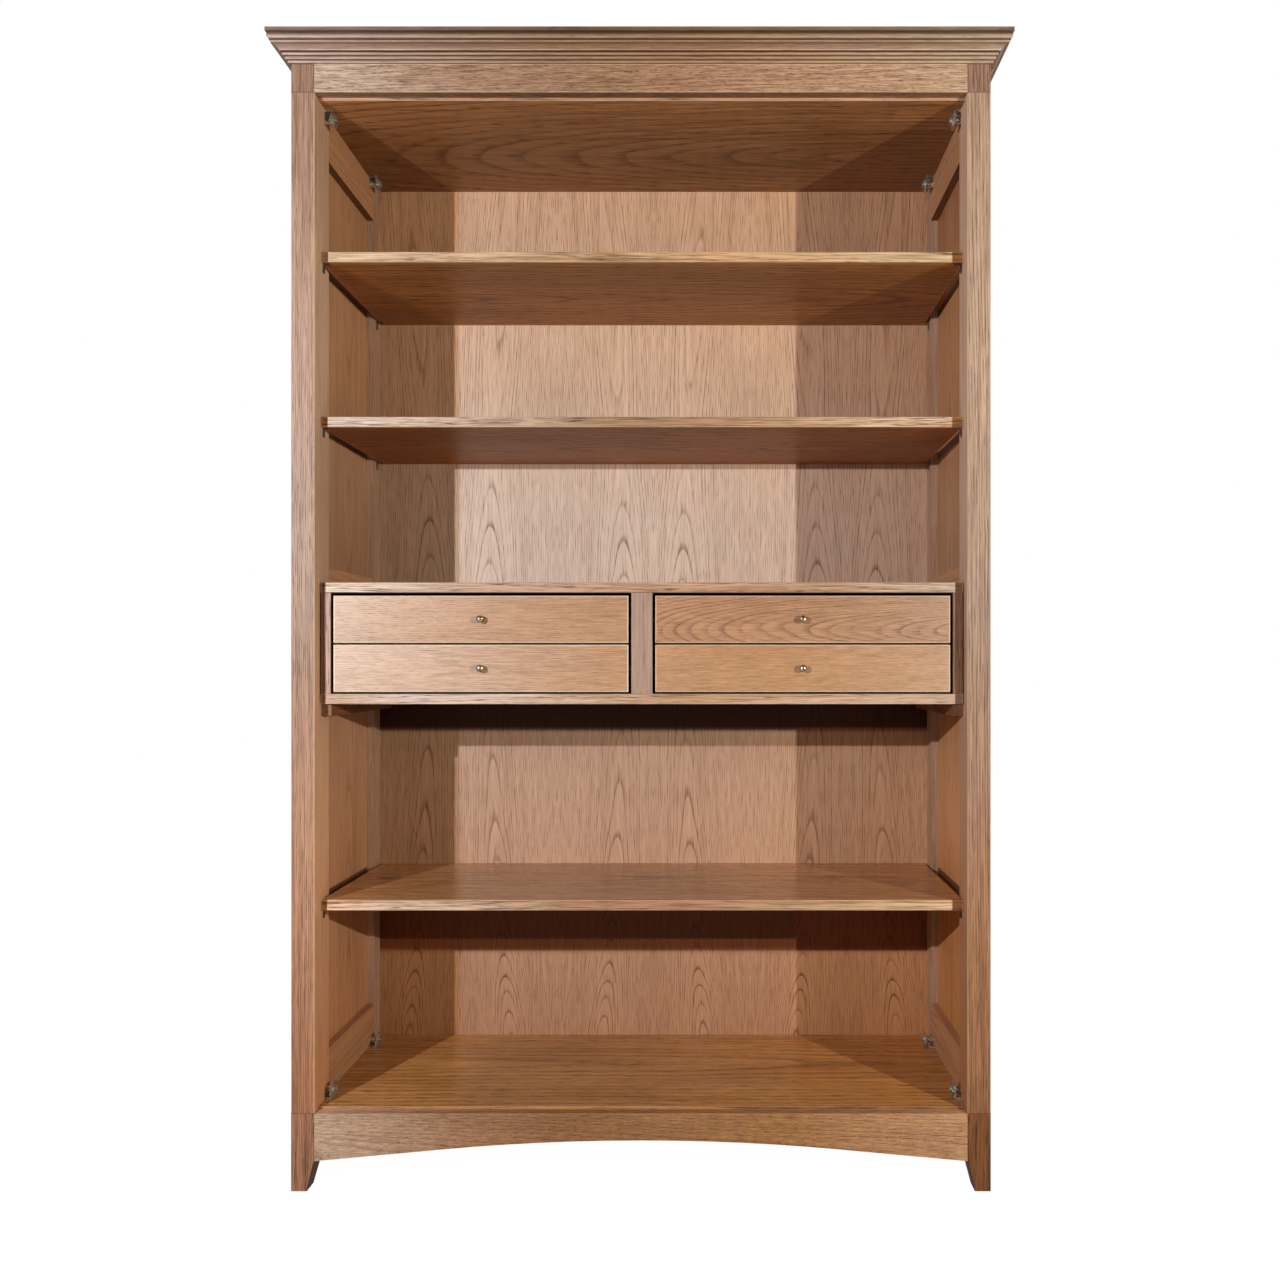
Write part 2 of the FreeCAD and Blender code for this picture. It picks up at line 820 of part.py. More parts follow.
def make_case_cleats():
    # Stepped like the side that it is glued to
    inner_x = post_inner_x - case_cleat_width
    low_z = case_z - case_cleat_height
    front = box((inner_x, front_y + case_cleat_set_back, low_z), (post_inner_x, post_rear_y, case_z))
    rear = box((inner_x, post_rear_y, low_z), (frame_inner_x, case_rear_y, case_z))
    cleat = fused([front, rear])
    return [cleat, mirrored(cleat)]


# Drawers

def tail_outlines(z):
    # The half-blind tails on the front end of a drawer side, as trapeziums in the side's plane
    root_y = drawer_front_back_y
    end_y = drawer_front_back_y - tail_length
    pitch = drawer_side_height / tail_count
    outlines = []
    for number in range(tail_count):
        middle = z + pitch * (number + 0.5)
        outlines.append([
            (root_y, middle - tail_root_width / 2), (end_y, middle - tail_end_width / 2),
            (end_y, middle + tail_end_width / 2), (root_y, middle + tail_root_width / 2),
        ])
    return outlines


def tails(x, z):
    solids = []
    for outline in tail_outlines(z):
        points = [vec(x, y, level) for y, level in outline]
        solids.append(prism(points, vec(drawer_side_thickness, 0, 0)))
    return solids


def side_places():
    # Where the two sides of a right-hand drawer start in X
    return drawer_inner_x, drawer_outer_x - drawer_side_thickness


def bottom_panel(drawer_z, play):
    # The thin bottom in its grooves. It slides in from behind, under the drawer's back.
    z = drawer_z + drawer_side_lift + drawer_bottom_lift
    bite = drawer_bottom_groove - play
    inner, outer = side_places()
    return box((inner + drawer_side_thickness - bite, drawer_front_back_y - bite, z),
               (outer + bite, drawer_rear_y, z + drawer_bottom_thickness))


def make_drawer_front(drawer_z):
    top = drawer_z + drawer_front_height
    front = bar((drawer_inner_x, case_front_y, drawer_z), (drawer_outer_x, drawer_front_back_y, top),
                "x", drawer_front_ease, ((-1, -1), (-1, 1)))
    sockets = []
    for x in side_places():
        sockets += tails(x, drawer_z + drawer_side_lift)
    centre = knob_centre(drawer_z)
    hole = peg_cylinder(spigot_diameter, centre, vec(0, 1, 0), spigot_length)
    return without(front, sockets + [bottom_panel(drawer_z, 0), hole])


def make_drawer_side(x, drawer_z, outward):
    # Dovetailed in front, grooved outside for the runner and inside for bottom and back
    z = drawer_z + drawer_side_lift
    board = box((x, drawer_front_back_y, z),
                (x + drawer_side_thickness, drawer_rear_y, z + drawer_side_height))
    board = fused([board] + tails(x, z))
    face = x + drawer_side_thickness if outward > 0 else x
    level = runner_level(drawer_z) - runner_clearance
    slot_start = case_front_y + centre_stile_depth - runner_stop_gap
    slot = box((min(face, face - outward * runner_bite), slot_start, level),
               (max(face, face - outward * runner_bite), drawer_rear_y + overrun,
                level + runner_height + 2 * runner_clearance))
    return without(board, [slot, bottom_panel(drawer_z, 0), drawer_back(drawer_z)])


def drawer_back(drawer_z):
    # Stands on the bottom and is housed in both sides
    z = drawer_z + drawer_side_lift
    inner, outer = side_places()
    low = z + drawer_bottom_lift + drawer_bottom_thickness
    rear = drawer_rear_y - drawer_back_inset
    return box((inner + drawer_side_thickness - drawer_housing, rear - drawer_back_thickness, low),
               (outer + drawer_housing, rear, z + drawer_side_height - drawer_back_drop))


def make_drawer_box(drawer_z):
    inner, outer = side_places()
    return [
        make_drawer_side(inner, drawer_z, -1),
        make_drawer_side(outer, drawer_z, 1),
        drawer_back(drawer_z),
        bottom_panel(drawer_z, panel_play),
    ]


def knob_centre(drawer_z):
    x = (drawer_inner_x + drawer_outer_x) / 2
    return vec(x, case_front_y, drawer_z + drawer_front_height / 2)


def make_knob(drawer_z):
    # A turned knob: rose, neck and domed head, with a spigot into the drawer front
    centre = knob_centre(drawer_z)

    def place(radius, out):
        return vec(centre.x + radius, centre.y - out, centre.z)

    rose = rose_diameter / 2
    neck = neck_diameter / 2
    head = head_diameter / 2
    spigot = spigot_diameter / 2
    neck_end = rose_thickness + neck_length
    rim_end = neck_end + head_rim
    tip = rim_end + head_dome
    ball = (head ** 2 + head_dome ** 2) / (2 * head_dome)
    half_angle = math.asin(head / ball) / 2
    dome_middle = place(ball * math.sin(half_angle), tip - ball + ball * math.cos(half_angle))
    neck_middle = place(neck, rose_thickness + neck_length / 2)
    edges = [
        Part.makeLine(place(0, -spigot_length), place(spigot, -spigot_length)),
        Part.makeLine(place(spigot, -spigot_length), place(spigot, 0)),
        Part.makeLine(place(spigot, 0), place(rose, 0)),
        Part.makeLine(place(rose, 0), place(rose, rose_thickness)),
        Part.Arc(place(rose, rose_thickness), neck_middle, place(head, neck_end)).toShape(),
        Part.makeLine(place(head, neck_end), place(head, rim_end)),
        Part.Arc(place(head, rim_end), dome_middle, place(0, tip)).toShape(),
        Part.makeLine(place(0, tip), place(0, -spigot_length)),
    ]
    face = Part.Face(Part.Wire(edges))
    return face.revolve(centre, vec(0, 1, 0), 360)


# Loose shelves and their pegs

def make_shelf(z):
    x = post_inner_x - shelf_end_gap
    start = front_y + shelf_set_back
    joint = start + lipping_depth
    lipping = bar((-x, start, z), (x, joint, z + shelf_thickness), "x", shelf_ease, ((-1, -1), (-1, 1)))
    board = box((-x, joint, z), (x, back_panel_y - shelf_back_gap, z + shelf_thickness))
    return [lipping, board]


def make_pegs():
    pegs = []
    half = peg_width / 2
    for shelf_z in shelf_heights():
        top = shelf_z - peg_clearance
        for x, y in peg_rows():
            arm = box((x - peg_arm_length, y - half, top - peg_thickness), (x, y + half, top))
            leaf = box((x - peg_thickness, y - half, top - peg_leaf_height), (x, y + half, top))
            pin = peg_cylinder(peg_pin_diameter, vec(x, y, top - peg_pin_drop), vec(1, 0, 0),
                               peg_pin_length)
            peg = fused([arm, leaf, pin])
            pegs += [peg, mirrored(peg)]
    return pegs


# Corner fixings

def make_plate(y, up):
    # An angle plate: its foot lies on the board and its leaf stands clear of the side
    half = plate_width / 2
    leaf_x = frame_inner_x - plate_stand_off
    board_z = bottom_board_top_z if up > 0 else top_board_under_z
    foot_z = board_z + up * plate_thickness
    leaf_z = board_z + up * plate_leaf_height
    foot = box((leaf_x, y - half, min(board_z, foot_z)),
               (frame_inner_x - plate_side_gap, y + half, max(board_z, foot_z)))
    leaf = box((leaf_x - plate_thickness, y - half, min(board_z, leaf_z)),
               (leaf_x, y + half, max(board_z, leaf_z)))
    start = vec(leaf_x - plate_thickness - overrun, y, board_z + up * bolt_height)
    hole = peg_cylinder(bolt_shank_diameter, start, vec(1, 0, 0), plate_thickness + 2 * overrun)
    return fused([foot, leaf]).cut(hole)


def make_bolt(y, up):
    # A thumb disc against the leaf with a small head on it, a collar between leaf and side, and
    # the shank in the side
    leaf_x = frame_inner_x - plate_stand_off
    board_z = bottom_board_top_z if up > 0 else top_board_under_z
    z = board_z + up * bolt_height
    disc_x = leaf_x - plate_thickness - bolt_disc_thickness
    disc = peg_cylinder(bolt_disc_diameter, vec(disc_x, y, z), vec(1, 0, 0), bolt_disc_thickness)
    head = peg_cylinder(bolt_head_diameter, vec(disc_x - bolt_head_length, y, z), vec(1, 0, 0),
                        bolt_head_length)
    shank = peg_cylinder(bolt_shank_diameter, vec(leaf_x - plate_thickness, y, z), vec(1, 0, 0),
                         plate_thickness + plate_stand_off + bolt_thread_length)
    collar = peg_cylinder(bolt_collar_diameter, vec(leaf_x, y, z), vec(1, 0, 0), plate_stand_off)
    return fused([disc, head, shank, collar])


def make_fixings(maker):
    pieces = []
    for y in fixing_rows():
        for up in (1, -1):
            piece = maker(y, up)
            pieces += [piece, mirrored(piece)]
    return pieces


def save_base():
    front = make_leg(False)
    back = make_leg(True)
    side_rail = make_side_rail(leg_depth, base_rail_z, base_height)
    save("front_leg_right", [front])
    save("front_leg_left", [mirrored(front)])
    save("back_leg_right", [back])
    save("back_leg_left", [mirrored(back)])
    save("base_apron", [make_apron()])
    save("base_back_rail", [make_base_back_rail()])
    save("base_side_rails", [side_rail, mirrored(side_rail)])
    save("bottom_board", [make_bottom_board()])
    save("board_cleats", make_board_cleats())
    save("locating_dowels", make_dowels())


def save_sides():
    for name, piece in make_side().items():
        save("right_" + name, [piece])
        save("left_" + name, [mirrored(piece)])
    save("back_panel", [make_back_panel()])


def save_cornice():
    front_block = make_corner_block(False)
    back_block = make_corner_block(True)
    side_frieze = make_side_rail(post_depth, side_top_z, frieze_top_z)
    crown_side = make_crown_side()
    save("corner_blocks", [front_block, mirrored(front_block), back_block, mirrored(back_block)])
    save("frieze_front", [make_frieze_front()])
    save("frieze_sides", [side_frieze, mirrored(side_frieze)])
    save("cornice_back_rail", [make_cornice_back_rail()])
    save("top_board", [make_top_board()])
    save("crown_front", [make_crown_front()])
    save("crown_right", [crown_side])
    save("crown_left", [mirrored(crown_side)])
    save("cornice_cap", [make_cornice_cap()])


def save_case():
    side = make_case_side()
    save("case_top", [make_case_top()])
    save("case_bottom", [make_case_bottom()])
    save("case_sides", [side, mirrored(side)])
    save("centre_stile", [make_centre_stile()])
    save("case_partition", [make_partition()])
    save("case_back", [make_case_back()])
    save("drawer_runners", make_runners())
    save("case_cleats", make_case_cleats())


def save_drawers():
    for level, z in (("lower", lower_drawer_z), ("upper", upper_drawer_z)):
        front = make_drawer_front(z)
        walls = make_drawer_box(z)
        knob = make_knob(z)
        save(level + "_right_drawer_front", [front])
        save(level + "_right_drawer_box", walls)
        save(level + "_right_drawer_knob", [knob])
        save(level + "_left_drawer_front", [mirrored(front)])
        save(level + "_left_drawer_box", [mirrored(wall) for wall in walls])
        save(level + "_left_drawer_knob", [mirrored(knob)])


def save_shelves():
    for name, z in zip(("lower_shelf", "middle_shelf", "upper_shelf"), shelf_heights()):
        save(name, make_shelf(z))
    save("shelf_pegs", make_pegs())
    save("corner_plates", make_fixings(make_plate))
    save("corner_bolts", make_fixings(make_bolt))


os.makedirs("parts", exist_ok=True)
save_base()
save_sides()
save_cornice()
save_case()
save_drawers()
save_shelves()
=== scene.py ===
import math
import bpy
import numpy as np
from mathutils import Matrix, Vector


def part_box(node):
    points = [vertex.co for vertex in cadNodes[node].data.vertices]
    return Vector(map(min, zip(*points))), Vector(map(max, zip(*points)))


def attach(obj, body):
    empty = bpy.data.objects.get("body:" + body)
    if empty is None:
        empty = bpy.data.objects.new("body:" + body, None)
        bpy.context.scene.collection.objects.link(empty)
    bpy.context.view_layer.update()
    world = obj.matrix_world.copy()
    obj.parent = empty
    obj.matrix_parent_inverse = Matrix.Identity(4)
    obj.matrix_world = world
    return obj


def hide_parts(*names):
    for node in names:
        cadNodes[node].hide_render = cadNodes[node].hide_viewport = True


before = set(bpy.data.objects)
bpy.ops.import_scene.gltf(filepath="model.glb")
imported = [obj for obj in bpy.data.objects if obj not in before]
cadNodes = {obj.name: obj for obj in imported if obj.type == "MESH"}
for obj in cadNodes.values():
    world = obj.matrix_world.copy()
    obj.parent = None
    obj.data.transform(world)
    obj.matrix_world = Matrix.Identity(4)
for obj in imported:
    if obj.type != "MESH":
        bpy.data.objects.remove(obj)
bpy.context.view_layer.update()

scene = bpy.context.scene


# Helpers for node trees: a value is either a socket to link or a number to set

def feed(tree, socket, value):
    if isinstance(value, bpy.types.NodeSocket):
        tree.links.new(value, socket)
    else:
        socket.default_value = value


def feedAll(tree, node, values):
    for place, value in enumerate(values):
        feed(tree, node.inputs[place], value)
    return node.outputs


def calc(tree, operation, *values, clamp=False):
    node = tree.nodes.new("ShaderNodeMath")
    node.operation = operation
    node.use_clamp = clamp
    return feedAll(tree, node, values)[0]


def vectorCalc(tree, operation, *values):
    node = tree.nodes.new("ShaderNodeVectorMath")
    node.operation = operation
    return feedAll(tree, node, values)[0]


def parts(tree, vector):
    return feedAll(tree, tree.nodes.new("ShaderNodeSeparateXYZ"), (vector,))


def joined(tree, *values):
    return feedAll(tree, tree.nodes.new("ShaderNodeCombineXYZ"), values)[0]


def ease(tree, value, low, high, start=0.0, end=1.0):
    node = tree.nodes.new("ShaderNodeMapRange")
    node.interpolation_type = "SMOOTHSTEP"
    return feedAll(tree, node, (value, low, high, start, end))[0]


def blendColour(tree, share, first, second):
    node = tree.nodes.new("ShaderNodeMix")
    node.data_type = "RGBA"
    for place, value in ((0, share), (6, first), (7, second)):  # 6 and 7 are its colour sockets
        feed(tree, node.inputs[place], value)
    return node.outputs[2]


def noise(tree, vector, stretch, detail=2.0, rough=0.5):
    node = tree.nodes.new("ShaderNodeTexNoise")
    node.inputs["Scale"].default_value = 1.0
    node.inputs["Detail"].default_value = detail
    node.inputs["Roughness"].default_value = rough
    feed(tree, node.inputs["Vector"], vectorCalc(tree, "MULTIPLY", vector, stretch))
    return node.outputs["Fac"], node.outputs["Color"]


def colourRamp(tree, value, stops, interpolation="LINEAR"):
    # Each stop is (position, colour)
    node = tree.nodes.new("ShaderNodeValToRGB")
    node.color_ramp.interpolation = interpolation
    elements = node.color_ramp.elements
    while len(elements) < len(stops):
        elements.new(0.5)
    for element, (position, colour) in zip(elements, stops):
        element.position = position
        element.color = tuple(colour) + (1.0,)
    feed(tree, node.inputs[0], value)
    return node.outputs[0]


def newGroup(name, inputs, outputs):
    tree = bpy.data.node_groups.new(name, "ShaderNodeTree")
    for label, kind, value in inputs:
        socket = tree.interface.new_socket(label, in_out="INPUT", socket_type="NodeSocket" + kind)
        if value is not None:
            socket.default_value = value
    for label, kind in outputs:
        tree.interface.new_socket(label, in_out="OUTPUT", socket_type="NodeSocket" + kind)
    entry = tree.nodes.new("NodeGroupInput")
    leave = tree.nodes.new("NodeGroupOutput")
    return tree, entry.outputs, leave.inputs


# Wood: growth rings round a heart line that lies behind the face, fibres and open pores.
# The vector's Z runs along the grain, X across the face and Y into the board.
# Ring number = distance to the heart line / ring pitch. Where the heart's depth changes along the
# grain, by tilt * z or by what the material feeds in, the rings draw pointed arches.
# Each noise is its waves per metre along X, Y and Z, its detail and its roughness, and each step
# its low end, its high end and the values there.
woodDetail = dict(
    seedShift=(7.31, 3.17, 1.93), seedRings=0.618,
    wave=((7, 7, 2.2), 3.0, 0.45), fibre=((480, 480, 10), 2.0, 0.6), streak=((75, 75, 1.7), 2.0),
    blotch=((9, 9, 2.2), 1.0), dash=((640, 640, 30), 1.0, 0.4),
    strengthPace=0.43, strengthStep=(0.35, 0.65, 0.35, 1.0), lineStart=(0.93, 1.0),
    lineBreaks=(0.34, 0.58, 0.45, 1.0), poreStep=(0.55, 0.64), poresInRing=(0.1, 0.6, 1.0, 0.4),
    middleTone=0.64, ringTone=0.12, poreRough=0.2, fibreRough=0.12, fibreHeight=0.3, lineHeight=0.4)


def makeWoodGroup():
    tree, given, out = newGroup("woodFigure", [
        ("Vector", "Vector", None), ("Heart Side", "Float", 0.0), ("Heart Depth", "Float", 0.1),
        ("Tilt", "Float", 0.0), ("Ring Pitch", "Float", 0.003), ("Wander", "Float", 0.006),
        ("Line Width", "Float", 0.3), ("Lines", "Float", 0.6), ("Streaks", "Float", 0.4),
        ("Pores", "Float", 0.6), ("Fibres", "Float", 1.9), ("Shortness", "Float", 1.0),
        ("Gloss", "Float", 0.4), ("Seed", "Float", 0.0),
        ("Light", "Color", (0.6, 0.4, 0.27, 1)), ("Dark", "Color", (0.3, 0.17, 0.1, 1)),
        ("Pore Colour", "Color", (0.1, 0.05, 0.03, 1)),
    ], [("Color", "Color"), ("Roughness", "Float"), ("Height", "Float")])
    w = woodDetail

    shift = joined(tree, *[calc(tree, "MULTIPLY", given["Seed"], s) for s in w["seedShift"]])
    place = vectorCalc(tree, "ADD", given["Vector"], shift)
    grain = vectorCalc(tree, "MULTIPLY", place, joined(tree, 1.0, 1.0, given["Shortness"]))

    # The wave runs from -0.5 to 0.5, so twice the wander is its full swing
    wave = vectorCalc(tree, "SUBTRACT", noise(tree, place, *w["wave"])[1], (0.5, 0.5, 0.5))
    amount = tree.nodes.new("ShaderNodeVectorMath")
    amount.operation = "SCALE"
    tree.links.new(wave, amount.inputs[0])
    feed(tree, amount.inputs["Scale"], calc(tree, "MULTIPLY", given["Wander"], 2.0))
    bent = vectorCalc(tree, "ADD", given["Vector"], amount.outputs[0])
    across, into, along = parts(tree, bent)

    tilted = calc(tree, "MULTIPLY", given["Tilt"], along)
    inward = calc(tree, "ADD", into, calc(tree, "ADD", given["Heart Depth"], tilted))
    sideWays = calc(tree, "SUBTRACT", across, given["Heart Side"])
    radius = calc(tree, "SQRT", calc(tree, "ADD", calc(tree, "MULTIPLY", sideWays, sideWays),
                                     calc(tree, "MULTIPLY", inward, inward)))
    ring = calc(tree, "ADD", calc(tree, "DIVIDE", radius, given["Ring Pitch"]),
                calc(tree, "MULTIPLY", given["Seed"], w["seedRings"]))
    part = calc(tree, "FRACT", ring)
    whole = tree.nodes.new("ShaderNodeTexNoise")
    whole.noise_dimensions = "1D"
    whole.inputs["Scale"].default_value = 1.0
    whole.inputs["Detail"].default_value = 0.0
    feed(tree, whole.inputs["W"], calc(tree, "MULTIPLY", ring, w["strengthPace"]))
    strength = ease(tree, whole.outputs["Fac"], *w["strengthStep"])

    fibre = noise(tree, grain, *w["fibre"])[0]
    streak = noise(tree, grain, *w["streak"])[0]
    blotch = noise(tree, place, *w["blotch"])[0]
    dash = noise(tree, grain, *w["dash"])[0]
    fibreWave = calc(tree, "SUBTRACT", fibre, 0.5)

    # A ring's line is sharp on one side and fades on the other, and breaks up into pores
    line = calc(tree, "ADD", ease(tree, part, 0.0, given["Line Width"], 1.0, 0.0),
                ease(tree, part, *w["lineStart"]))
    line = calc(tree, "MULTIPLY", line, strength)
    line = calc(tree, "MULTIPLY", line, ease(tree, dash, *w["lineBreaks"]), clamp=True)
    pore = calc(tree, "MULTIPLY", ease(tree, dash, *w["poreStep"]),
                ease(tree, part, *w["poresInRing"]))
    pore = calc(tree, "MULTIPLY", pore, given["Pores"], clamp=True)

    tone = calc(tree, "ADD", w["middleTone"], calc(tree, "MULTIPLY", fibreWave, given["Fibres"]))
    coarse = calc(tree, "ADD", calc(tree, "SUBTRACT", streak, 0.5),
                  calc(tree, "SUBTRACT", blotch, 0.5))
    tone = calc(tree, "ADD", tone, calc(tree, "MULTIPLY", coarse, given["Streaks"]))
    ringWave = calc(tree, "SUBTRACT", part, 0.5)
    tone = calc(tree, "ADD", tone, calc(tree, "MULTIPLY", ringWave, w["ringTone"]), clamp=True)
    colour = blendColour(tree, tone, given["Dark"], given["Light"])
    lineShare = calc(tree, "MULTIPLY", line, given["Lines"], clamp=True)
    colour = blendColour(tree, lineShare, colour, given["Pore Colour"])
    colour = blendColour(tree, pore, colour, given["Pore Colour"])
    tree.links.new(colour, out["Color"])
    rough = calc(tree, "ADD", given["Gloss"], calc(tree, "MULTIPLY", pore, w["poreRough"]))
    rough = calc(tree, "ADD", rough, calc(tree, "MULTIPLY", fibreWave, w["fibreRough"]))
    tree.links.new(rough, out["Roughness"])
    height = calc(tree, "SUBTRACT", calc(tree, "MULTIPLY", fibre, w["fibreHeight"]), pore)
    height = calc(tree, "SUBTRACT", height, calc(tree, "MULTIPLY", line, w["lineHeight"]))
    tree.links.new(height, out["Height"])
    return tree


# Edges: how near a point of a box-shaped piece is to an arris or to its ends, from the piece's own
# corners. Of the three distances to the nearest faces one is nought on the surface, so the middle
# one is the distance to the nearest arris. End Room above nought leaves out the end arrises.
# The noise makes an arris's light band, a painted highlight with some wear, wider in some places
# than in others.
edgeChips = ((60, 60, 60), 2.0)


def makeEdgeGroup():
    tree, given, out = newGroup("arrisAndEnds", [
        ("Vector", "Vector", None), ("Half Size", "Vector", None), ("Arris Width", "Float", 0.0015),
        ("End Width", "Float", 0.0008), ("End Room", "Float", 0.0),
    ], [("Arris", "Float"), ("Ends", "Float")])
    away = vectorCalc(tree, "ABSOLUTE", given["Vector"])
    x, y, z = parts(tree, vectorCalc(tree, "SUBTRACT", given["Half Size"], away))
    low = calc(tree, "MINIMUM", x, y)
    high = calc(tree, "MAXIMUM", x, y)
    endwise = calc(tree, "MINIMUM", high, calc(tree, "ADD", z, given["End Room"]))
    middle = calc(tree, "MAXIMUM", low, endwise)
    chip = noise(tree, given["Vector"], *edgeChips)[0]
    width = calc(tree, "MULTIPLY", given["Arris Width"], calc(tree, "ADD", chip, 0.5))
    tree.links.new(ease(tree, middle, 0.0, width, 1.0, 0.0), out["Arris"])
    tree.links.new(ease(tree, z, 0.0, given["End Width"], 1.0, 0.0), out["Ends"])
    return tree


woodGroup = makeWoodGroup()
edgeGroup = makeEdgeGroup()
print("node groups made")


def useGroup(tree, group, **values):
    node = tree.nodes.new("ShaderNodeGroup")
    node.node_tree = group
    for label, value in values.items():
        feed(tree, node.inputs[label.replace("_", " ")], value)
    return node.outputs


def newMaterial(name):
    material = bpy.data.materials.new(name)
    material.use_nodes = True
    tree = material.node_tree
    shader = tree.nodes["Principled BSDF"]
    return material, tree, shader


def coordinate(tree, kind):
    return tree.nodes.new("ShaderNodeTexCoord").outputs[kind]


def reorder(tree, vector, order):
    # The world axes that lie across the face, into the board and along the grain
    split = parts(tree, vector)
    return joined(tree, *[split["xyz".index(axis)] for axis in order])


def addBump(tree, shader, height, strength, distance):
    bump = tree.nodes.new("ShaderNodeBump")
    bump.inputs["Strength"].default_value = strength
    bump.inputs["Distance"].default_value = distance
    tree.links.new(height, bump.inputs["Height"])
    tree.links.new(bump.outputs[0], shader.inputs["Normal"])


finishes = {
    "frame": dict(light=(0.69, 0.455, 0.31), dark=(0.27, 0.15, 0.09), pore=(0.10, 0.052, 0.03),
                  gloss=0.44, shine=0.4),
    "board": dict(light=(0.66, 0.37, 0.20), dark=(0.26, 0.12, 0.05), pore=(0.10, 0.042, 0.016),
                  gloss=0.2, shine=0.7),
    "overhead": dict(light=(0.66, 0.37, 0.20), dark=(0.26, 0.12, 0.05), pore=(0.10, 0.042, 0.016),
                     gloss=0.42, shine=0.25),
    "side": dict(light=(0.68, 0.37, 0.19), dark=(0.39, 0.19, 0.085), pore=(0.16, 0.07, 0.03),
                 gloss=0.45, shine=0.25),
    "veneer": dict(light=(0.81, 0.64, 0.53), dark=(0.49, 0.35, 0.26), pore=(0.17, 0.105, 0.07),
                   gloss=0.5, shine=0.25),
    "drawer": dict(light=(0.59, 0.345, 0.195), dark=(0.31, 0.165, 0.085), pore=(0.15, 0.07, 0.035),
                   gloss=0.4, shine=0.6),
    "moulding": dict(light=(0.46, 0.28, 0.175), dark=(0.19, 0.10, 0.058), pore=(0.07, 0.035, 0.02),
                     gloss=0.4, shine=0.4),
    "inner": dict(light=(0.50, 0.31, 0.19), dark=(0.28, 0.15, 0.09), pore=(0.13, 0.07, 0.04),
                  gloss=0.5, shine=0.3),
}

# Order: the axes across the face, into the board and along the grain. Arris is a share of painted
# highlight with light wear on the edges, ends one of dark in the joints at the piece's ends.
# calmBehind holds two depths behind the front face, between which the figure weakens, and the share
# of it that is left.
plain = dict(
    finish="frame", order="xyz", side=0.02, depth=0.14, tilt=0.01, pitch=0.0032, wander=0.004,
    width=0.35, lines=0.4, streaks=0.5, pores=0.8, fibres=2.2, shortness=1.0, tone=(1.0, 1.0, 1.0),
    arris=0.0, arrisWidth=0.0016, ends=0.0, endWidth=0.0012, inner=None, frontOnly=False,
    innerOnly=False, calmBehind=None, fadeInside=False)

calm = dict(pores=0.3, lines=0.3, streaks=0.9, fibres=1.0)
post = dict(depth=0.02, fibres=2.3, shortness=0.85, pores=0.6, innerOnly=True, arrisWidth=0.0028,
            ends=0.7, calmBehind=(0.0012, 0.0018, 0.3))
backStile = dict(finish="veneer", order="yxz", tone=(0.75, 0.62, 0.52), pores=0.3)
sideRail = dict(finish="side", order="zxy", **calm)
# fadeInside: the panel's painted tones go only on the faces towards the middle
sidePanel = dict(finish="side", order="yxz", depth=0.06, pitch=0.007, fadeInside=True, **calm)
board = dict(order="yzx", width=0.4, streaks=1.0)
shelf = dict(board, depth=0.05, pitch=0.013, wander=0.012, lines=0.6, fibres=2.8, arris=0.6)
crown = dict(finish="moulding", pitch=0.003, fibres=1.3, streaks=0.35, pores=0.3, lines=0.2,
             shortness=2.0)
drawerFront = dict(finish="drawer", order="zyx", pores=0.35, fibres=1.9, streaks=0.5,
                   shortness=2.4, frontOnly=True, arris=0.9, arrisWidth=0.003)
drawerBox = dict(finish="inner", order="zxy", tone=(0.85, 0.75, 0.65))
